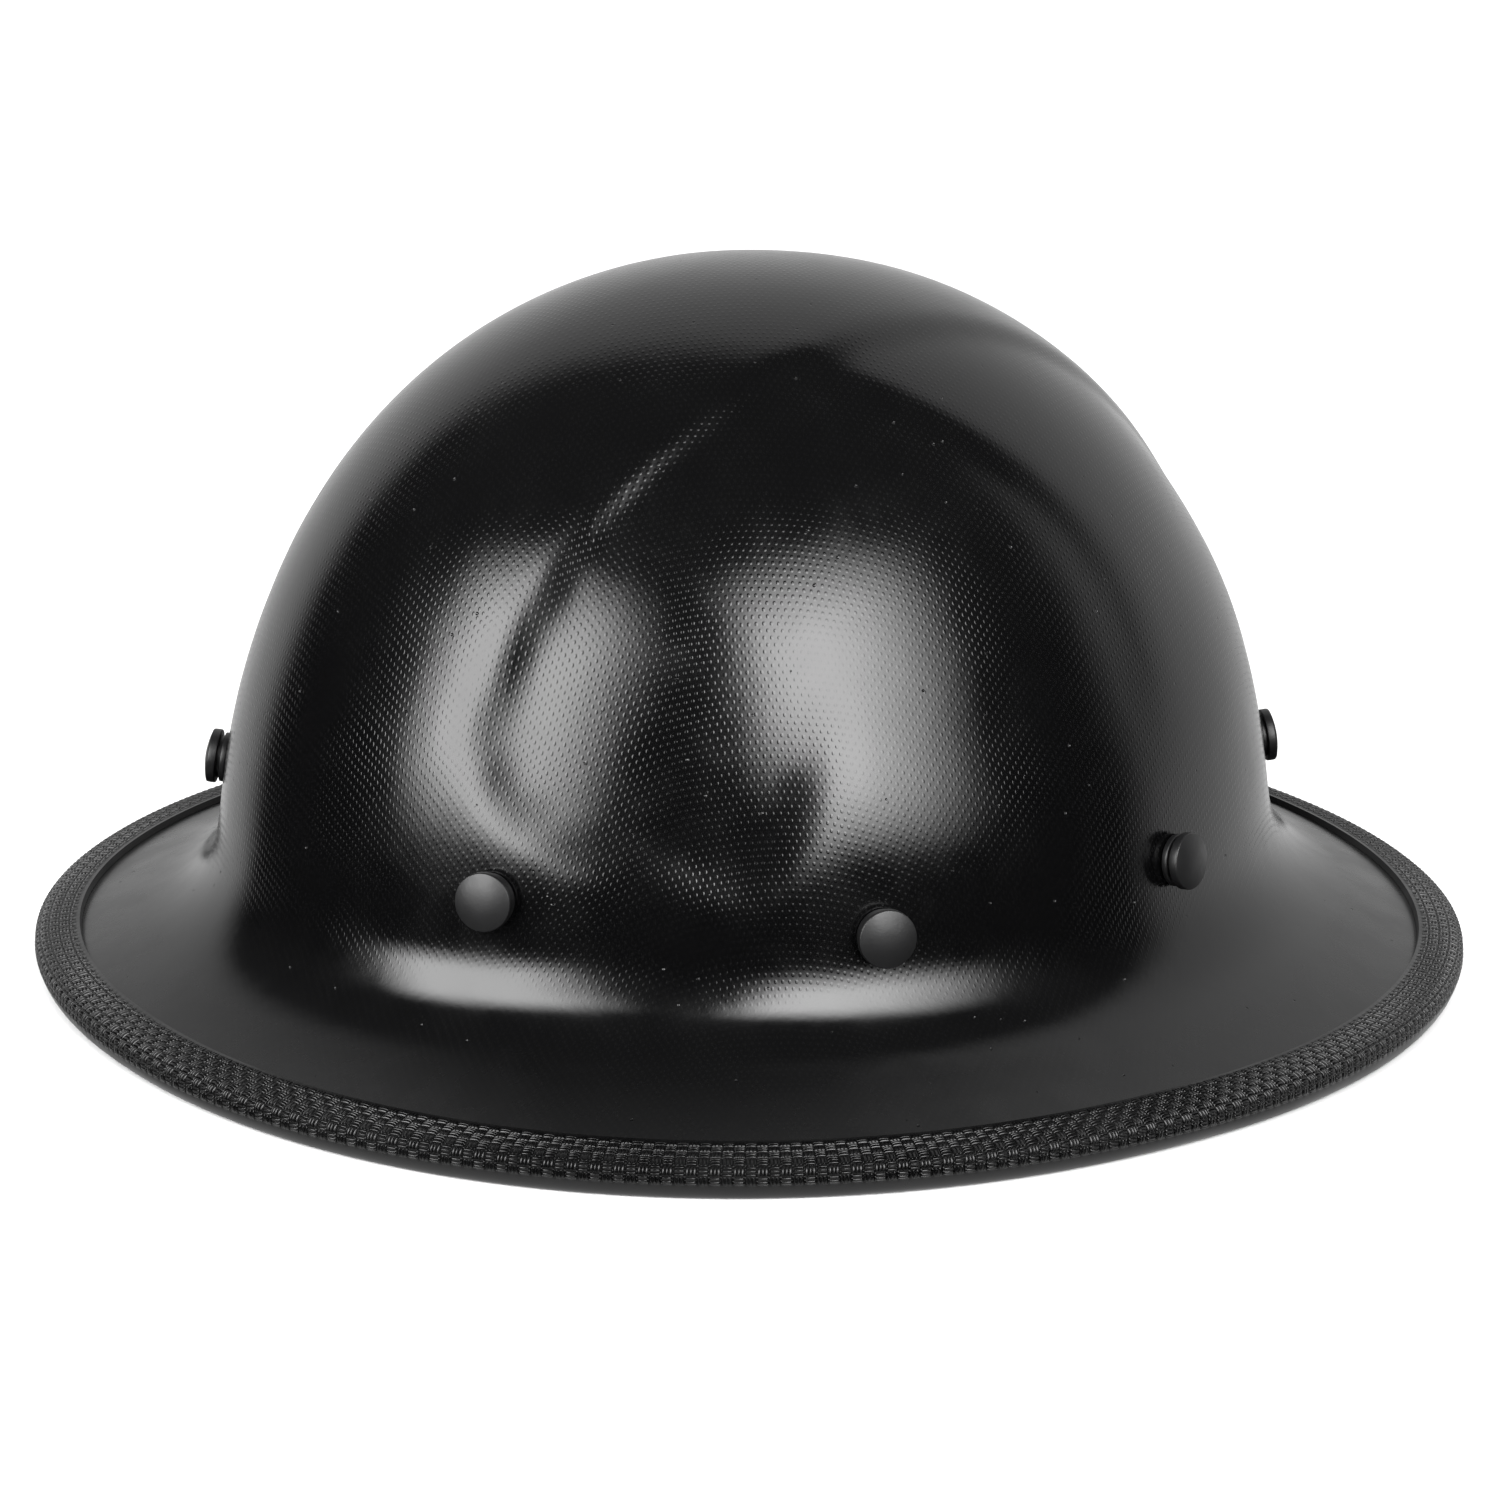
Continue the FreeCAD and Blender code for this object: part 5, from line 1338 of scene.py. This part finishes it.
                    place = Matrix((heading, np.cross(inward, heading), inward)).transposed().to_4x4()
                    place.translation = Vector(spot)
                    places.append(place)
        clear_selection()
        bpy.ops.mesh.primitive_uv_sphere_add(segments=8, ring_count=5, radius=1.0, scale=self.stitch_radii)
        bead = bpy.context.object
        apply_place(bead)
        bead.data.uv_layers[0].name = "woven"
        return copies(bead, places, "stitches")

    def build(self) -> list[bpy.types.Object]:
        """Weaves and loops the four straps.

        Returns:
            The four straps, lowest first.
        """
        frames = self.frames()
        return [self.strap(layer + 1, layer, frames[first], frames[second])
                for layer, (first, second) in enumerate(self.pairs)]


@dataclass
class Pads:
    """Cloth-covered foam pads: brow, nape and crown, blown up from their sewn seams."""

    pressure: float = 4.0
    frames: int = 20
    cap: float = 1.3 * MM
    seam_fullness: float = 0.3
    channel_width: float = 1.6 * MM
    stitch_reach: float = 0.9 * MM
    brow_centre: float = -19.0 * MM
    brow_radii: tuple = (74.6 * MM, 79.3 * MM)
    brow_angle: float = 69.0
    brow_heights: tuple = (8.8 * MM, 41.2 * MM)
    brow_channels: tuple = (-44.0, -22.0, 0.0, 22.0, 44.0)
    nape_centre: float = 17.0 * MM
    nape_radii: tuple = (68.3 * MM, 73.2 * MM)
    nape_angle: float = 23.2
    nape_heights: tuple = (9.8 * MM, 40.2 * MM)
    nape_channels: tuple = (-9.0, 9.0)
    crown_radius: float = 39.0 * MM
    crown_thickness: float = 5.0 * MM
    crown_channels: int = 8

    def inflate(self, piece: bpy.types.Object) -> None:
        """Blows a sewn cover up by cloth simulation and applies the result.

        Args:
            piece: a closed cover with a "sewn" attribute that is 1 on its seams.
        """
        mesh = piece.data
        sewn = np.zeros(len(mesh.vertices), dtype=np.float32)
        mesh.attributes["sewn"].data.foreach_get("value", sewn)
        start = np.zeros(len(mesh.vertices) * 3)
        mesh.vertices.foreach_get("co", start)
        group = piece.vertex_groups.new(name="seams")
        group.add([int(k) for k in np.nonzero(sewn > 0.5)[0]], 1.0, "REPLACE")
        pick(piece)
        modifier = piece.modifiers.new("Cloth", "CLOTH")
        settings = modifier.settings
        settings.use_pressure = True
        settings.uniform_pressure_force = self.pressure
        settings.effector_weights.gravity = 0.0
        settings.vertex_group_mass = "seams"
        settings.quality = 4
        scene = bpy.context.scene
        for step in range(1, self.frames + 1):
            scene.frame_set(step)
        bpy.ops.object.modifier_apply(modifier=modifier.name)
        piece.vertex_groups.clear()
        end = np.zeros(len(mesh.vertices) * 3)
        mesh.vertices.foreach_get("co", end)
        moved = (end - start).reshape(-1, 3)
        far = np.linalg.norm(moved, axis=1, keepdims=True)
        moved *= np.minimum(1.0, self.cap / np.maximum(far, 1e-9))
        mesh.vertices.foreach_set("co", start + moved.ravel())
        scene.frame_set(1)
        apply_modifier(piece, "SUBSURF", levels=1, render_levels=1)
        shade(piece, 60.0)

    def sew(self, full: np.ndarray, sewn: np.ndarray, off: np.ndarray, depth: float,
            where: np.ndarray | bool = True) -> tuple[np.ndarray, np.ndarray]:
        """Draws a cover in along a sewn line.

        Args:
            full: how full the cover is, from 0 at its edge to 1.
            sewn: which of its points are stitched down.
            off: how far each point is from the line.
            depth: share of the fullness that is lost on the line.
            where: the points that the line may reach.

        Returns:
            The new fullness and the new stitched points.
        """
        drawn = full * (1 - depth * np.exp(-(off / self.channel_width) ** 2) * where)
        return drawn, np.maximum(sewn, ((off < self.stitch_reach) & where).astype(float))

    def curved(self, name: str, centre: float, radii: tuple, angle: float, heights: tuple, channels: tuple,
               front: bool) -> bpy.types.Object:
        """Pad that lies on the inside of a round band.

        Args:
            name: the piece's name.
            centre: Y of the band's centre.
            radii: radii of the pad's faces.
            angle: half of its angle, in degrees.
            heights: its lower and upper edge.
            channels: angles of its sewn channels.
            front: whether it lies at the front of the head.

        Returns:
            The finished pad.
        """
        long = round(math.radians(2 * angle) * radii[1] / (1.7 * MM))
        across, up = np.meshgrid(np.linspace(-1, 1, long + 1), np.linspace(-1, 1, 21))
        turn = np.radians(across * angle)
        edge = np.minimum(1 - np.abs(across) ** 40, 1 - up ** 6)
        full = np.sqrt(np.clip(edge, 0, 1))
        sewn = (full < self.seam_fullness).astype(float)
        for channel in channels:
            off = np.abs(across * angle - channel) * math.radians(1) * radii[1]
            full, sewn = self.sew(full, sewn, off, 0.55, np.abs(up) < 0.72)
        middle, half = (radii[0] + radii[1]) / 2, (radii[1] - radii[0]) / 2
        corner = 1 - 0.16 * smooth((np.abs(across) - 0.93) / 0.07)
        z = (heights[0] + heights[1]) / 2 + (heights[1] - heights[0]) / 2 * up * corner
        sheets = []
        for side in (-1, 1):
            radius = middle + side * half * full
            y = centre + (-1 if front else 1) * radius * np.cos(turn)
            sheets.append(np.stack([radius * np.sin(turn), y, z], -1))
        piece = net(name, np.concatenate([sheets[0], sheets[1][::-1][1:]]), wrap=False)
        mark(piece, "sewn", np.concatenate([sewn, sewn[::-1][1:]]))
        close_up(piece)
        self.inflate(piece)
        return piece

    def crown(self) -> bpy.types.Object:
        """Round pad under the straps' crossing, sewn in segments.

        Returns:
            The finished pad.
        """
        harness = Harness()
        ends = [np.array(place @ Vector((0, harness.key_top, harness.depth))) for place in harness.frames()]
        steepest = max((harness.apex - end[2]) / np.hypot(*end[:2]) ** harness.curve for end in ends)
        top = harness.apex - harness.thickness / 2 - 1.0 * MM
        turn, out = np.meshgrid(2 * math.pi * np.arange(96) / 96, np.linspace(0, 1, 27))
        full = np.sqrt(np.clip(1 - out ** 10, 0, 1))
        sewn = (full < self.seam_fullness).astype(float)
        slot = 2 * math.pi / self.crown_channels
        off = np.abs((turn + slot / 2) % slot - slot / 2) * out * self.crown_radius
        seam = (out > 0.3) & (out < 0.9)
        ring = np.abs(out - 0.3) * self.crown_radius
        off = np.where(seam, np.minimum(off, ring), ring)
        full, sewn = self.sew(full, sewn, off, 0.5)
        radius = out * self.crown_radius
        middle = top - steepest * radius ** harness.curve - self.crown_thickness / 2
        sheets = [np.stack([radius * np.sin(turn), -radius * np.cos(turn),
                            middle + side * full * self.crown_thickness / 2], -1) for side in (1, -1)]
        piece = net("crown_cushion", np.concatenate([sheets[0], sheets[1][::-1][1:]]))
        ringed = np.concatenate([sewn, sewn[::-1][1:]])
        mark(piece, "sewn", np.concatenate([ringed, ringed[:, :1]], axis=1))
        close_up(piece)
        self.inflate(piece)
        return piece

    def build(self) -> list[tuple[bpy.types.Object, str]]:
        """Sews and fills the three pads.

        Returns:
            Each pad with the frame's node that it stands for.
        """
        brow = self.curved("brow_cushion", self.brow_centre, self.brow_radii, self.brow_angle,
                           self.brow_heights, self.brow_channels, True)
        nape = self.curved("nape_cushion", self.nape_centre, self.nape_radii, self.nape_angle,
                           self.nape_heights, self.nape_channels, False)
        return [(brow, "brow_pad"), (nape, "nape_pad"), (self.crown(), "crown_pad")]


# ------------------------------------------------------------------------------ studio
@dataclass(frozen=True)
class SoftBox:
    """A rectangular soft light that faces the helmet.

    Its azimuth and elevation are in degrees, its glow is 1 for white paper, and it fades over shares of its
    width or height at the left, right, bottom and top.
    """

    name: str
    azimuth: float
    elevation: float
    size: tuple
    glow: float
    fades: tuple
    distance: float = 1.6


@dataclass
class Studio:
    """Pale floor, two soft boxes, a white sweep behind the helmet and the camera."""

    azimuth: float = 56.04
    elevation: float = 15.03
    distance: float = 0.971
    target: tuple = (0.0, 0.0, 0.0739)
    lens: float = 101.4
    shift: tuple = (-0.0039, -0.0814)
    roll: float = 0.82
    floor_radius: float = 9.0
    sweep_azimuth: float = 222.5
    sweep_glow: float = 0.75
    table_glow: float = 0.9
    ceiling_glow: float = 0.09
    dim: float = 0.02
    boxes: tuple = (SoftBox("left_box", 13.0, 24.0, (1.56, 1.6), 12.0, (0.3, 0.38, 0.3, 0.34)),
                    SoftBox("right_box", 88.0, 28.0, (1.5, 1.72), 14.0, (0.24, 0.62, 0.45, 0.35)))
    wash_azimuth: float = 236.0
    wash_elevation: float = 72.0
    wash_energy: float = 3.2
    wash_angle: float = 110.0

    def heading(self, azimuth: float, elevation: float) -> Vector:
        """Direction from the helmet to a place at an azimuth and elevation."""
        a, e = math.radians(azimuth), math.radians(elevation)
        return Vector((math.sin(a) * math.cos(e), -math.cos(a) * math.cos(e), math.sin(e)))

    def aimed(self, azimuth: float, elevation: float, distance: float) -> Matrix:
        """Place at a distance from the helmet, facing it."""
        away = self.heading(azimuth, elevation)
        spot = Matrix.Translation(Vector(self.target) + away * distance)
        return spot @ away.to_track_quat("Z", "Y").to_matrix().to_4x4()

    def make_camera(self) -> bpy.types.Object:
        """Camera that looks at the helmet's left front.

        Returns:
            The scene's camera.
        """
        data = bpy.data.cameras.new("camera")
        data.lens, data.sensor_width = self.lens, 36.0
        data.shift_x, data.shift_y = self.shift
        data.clip_start, data.clip_end = 0.01, 50.0
        camera = bpy.data.objects.new("camera", data)
        bpy.context.scene.collection.objects.link(camera)
        turn = Matrix.Rotation(math.radians(self.roll), 4, "Z")
        camera.matrix_world = self.aimed(self.azimuth, self.elevation, self.distance) @ turn
        bpy.context.scene.camera = camera
        return camera

    def light(self, name: str, kind: str, place: Matrix, **settings: object) -> bpy.types.Object:
        """Adds a light that the camera itself doesn't see.

        Args:
            name: the light's name.
            kind: its type.
            place: where it stands and faces.
            settings: its properties.

        Returns:
            The light.
        """
        data = bpy.data.lights.new(name, kind)
        for key, value in settings.items():
            setattr(data, key, value)
        lamp = bpy.data.objects.new(name, data)
        bpy.context.scene.collection.objects.link(lamp)
        lamp.matrix_world = place
        lamp.visible_camera = False
        return lamp

    def soft_box(self, box: SoftBox) -> None:
        """Sets up one soft box, which fades towards its edges."""
        place = self.aimed(box.azimuth, box.elevation, box.distance)
        lamp = self.light(box.name, "AREA", place, shape="RECTANGLE", size=box.size[0], size_y=box.size[1],
                          energy=box.glow * math.pi * box.size[0] * box.size[1])
        lamp.data.use_nodes = True
        nodes = Nodes(lamp.data.node_tree)
        split = nodes.node("SeparateXYZ")
        nodes.feed(split.inputs[0], nodes.node("NewGeometry").outputs["Parametric"])
        left, right, bottom, top = box.fades
        fades = [nodes.remap(split.outputs[axis], start, end, 0.0, 1.0, "SMOOTHSTEP")
                 for axis, start, end in (("X", 0, left), ("X", 1, 1 - right),
                                          ("Y", 0, bottom), ("Y", 1, 1 - top))]
        strength = nodes.times(nodes.times(nodes.times(fades[0], fades[1]), fades[2]), fades[3])
        nodes.feed(nodes.tree.nodes["Emission"].inputs["Strength"], strength)

    def make_floor(self) -> None:
        """Round pale floor."""
        clear_selection()
        bpy.ops.mesh.primitive_circle_add(vertices=96, radius=self.floor_radius, fill_type="NGON")
        floor = bpy.context.object
        floor.name = "studio_floor"
        floor.visible_glossy = False
        recipe = Recipe("pale_floor")
        recipe.fix(Base_Color=(0.86, 0.86, 0.86, 1.0), Roughness=0.75)
        floor.data.materials.append(recipe.material)

    def make_air(self) -> None:
        """White sweep behind the helmet and white table under it, in a dark studio."""
        world = bpy.data.worlds.new("studio_air")
        bpy.context.scene.world = world
        world.use_nodes = True
        nodes = Nodes(world.node_tree)
        view = nodes.node("TexCoord").outputs["Generated"]
        brightest = 0.0
        for toward, start, end, glow in ((self.heading(self.sweep_azimuth, 0.0), 0.26, 0.52, self.sweep_glow),
                                         (Vector((0, 0, -1)), 0.45, 0.8, self.table_glow),
                                         (Vector((0, 0, 1)), 0.0, 0.9, self.ceiling_glow)):
            facing = nodes.node("VectorMath", operation="DOT_PRODUCT")
            nodes.feed(facing.inputs[0], view)
            nodes.feed(facing.inputs[1], toward)
            edge = nodes.remap(facing.outputs["Value"], start, end, self.dim, glow, "SMOOTHSTEP")
            brightest = nodes.math("MAXIMUM", brightest, edge)
        background = nodes.tree.nodes["Background"]
        nodes.feed(background.inputs["Strength"], brightest)
        nodes.feed(background.inputs["Color"], (1.0, 1.0, 1.0, 1.0))

    def build(self) -> None:
        """Sets the floor, the air, the lights and the camera."""
        bpy.context.scene.view_settings.view_transform = "Standard"
        self.make_floor()
        self.make_air()
        self.make_camera()
        for box in self.boxes:
            self.soft_box(box)
        wash = self.light("floor_wash", "SUN", self.aimed(self.wash_azimuth, self.wash_elevation, 2.0),
                          energy=self.wash_energy, angle=math.radians(self.wash_angle))
        wash.visible_glossy = False


# ------------------------------------------------------------------------------ assembly
def assemble() -> None:
    """Builds every sub-assembly, dresses it and rides it on its body."""
    wardrobe = Wardrobe()
    shell = Shell().build()
    wardrobe.dress(shell, Finish.RESIN)
    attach(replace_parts(shell, "shell"), "helmet")
    LOG.info("shell: %d faces", len(shell.data.polygons))

    trim = EdgeTrim().build()
    wardrobe.dress(trim, Finish.RUBBER)
    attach(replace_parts(trim, "edge_trim"), "helmet")
    LOG.info("edge trim: %d faces", len(trim.data.polygons))

    buttons = Buttons().build()
    for button in buttons:
        wardrobe.dress(button, Finish.BUTTON)
        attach(button, "helmet")
    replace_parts(buttons[0], "buttons", "button_flanges")
    LOG.info("buttons: %d", len(buttons))

    liner = Liner().build()
    wardrobe.dress(liner, Finish.FOAM)
    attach(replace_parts(liner, "impact_liner"), "helmet")
    LOG.info("liner: %d faces", len(liner.data.polygons))

    for number, strap in enumerate(Harness().build(), 1):
        wardrobe.dress(strap, Finish.WEBBING)
        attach(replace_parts(strap, f"crown_strap_{number}"), "helmet")
        LOG.info("%s: %d faces", strap.name, len(strap.data.polygons))

    for pad, node in Pads().build():
        wardrobe.dress(pad, Finish.PAD)
        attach(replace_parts(pad, node), "helmet")
        LOG.info("%s: %d faces", pad.name, len(pad.data.polygons))

    LOG.info("frame pieces dressed: %d", wardrobe.dress_frame())


def main() -> None:
    """Builds the helmet and its studio, and reports each piece."""
    logging.basicConfig(level=logging.INFO, format="%(name)s %(message)s")
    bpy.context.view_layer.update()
    assemble()
    Studio().build()
    LOG.info("sizes written")


if __name__ == "__main__":
    main()
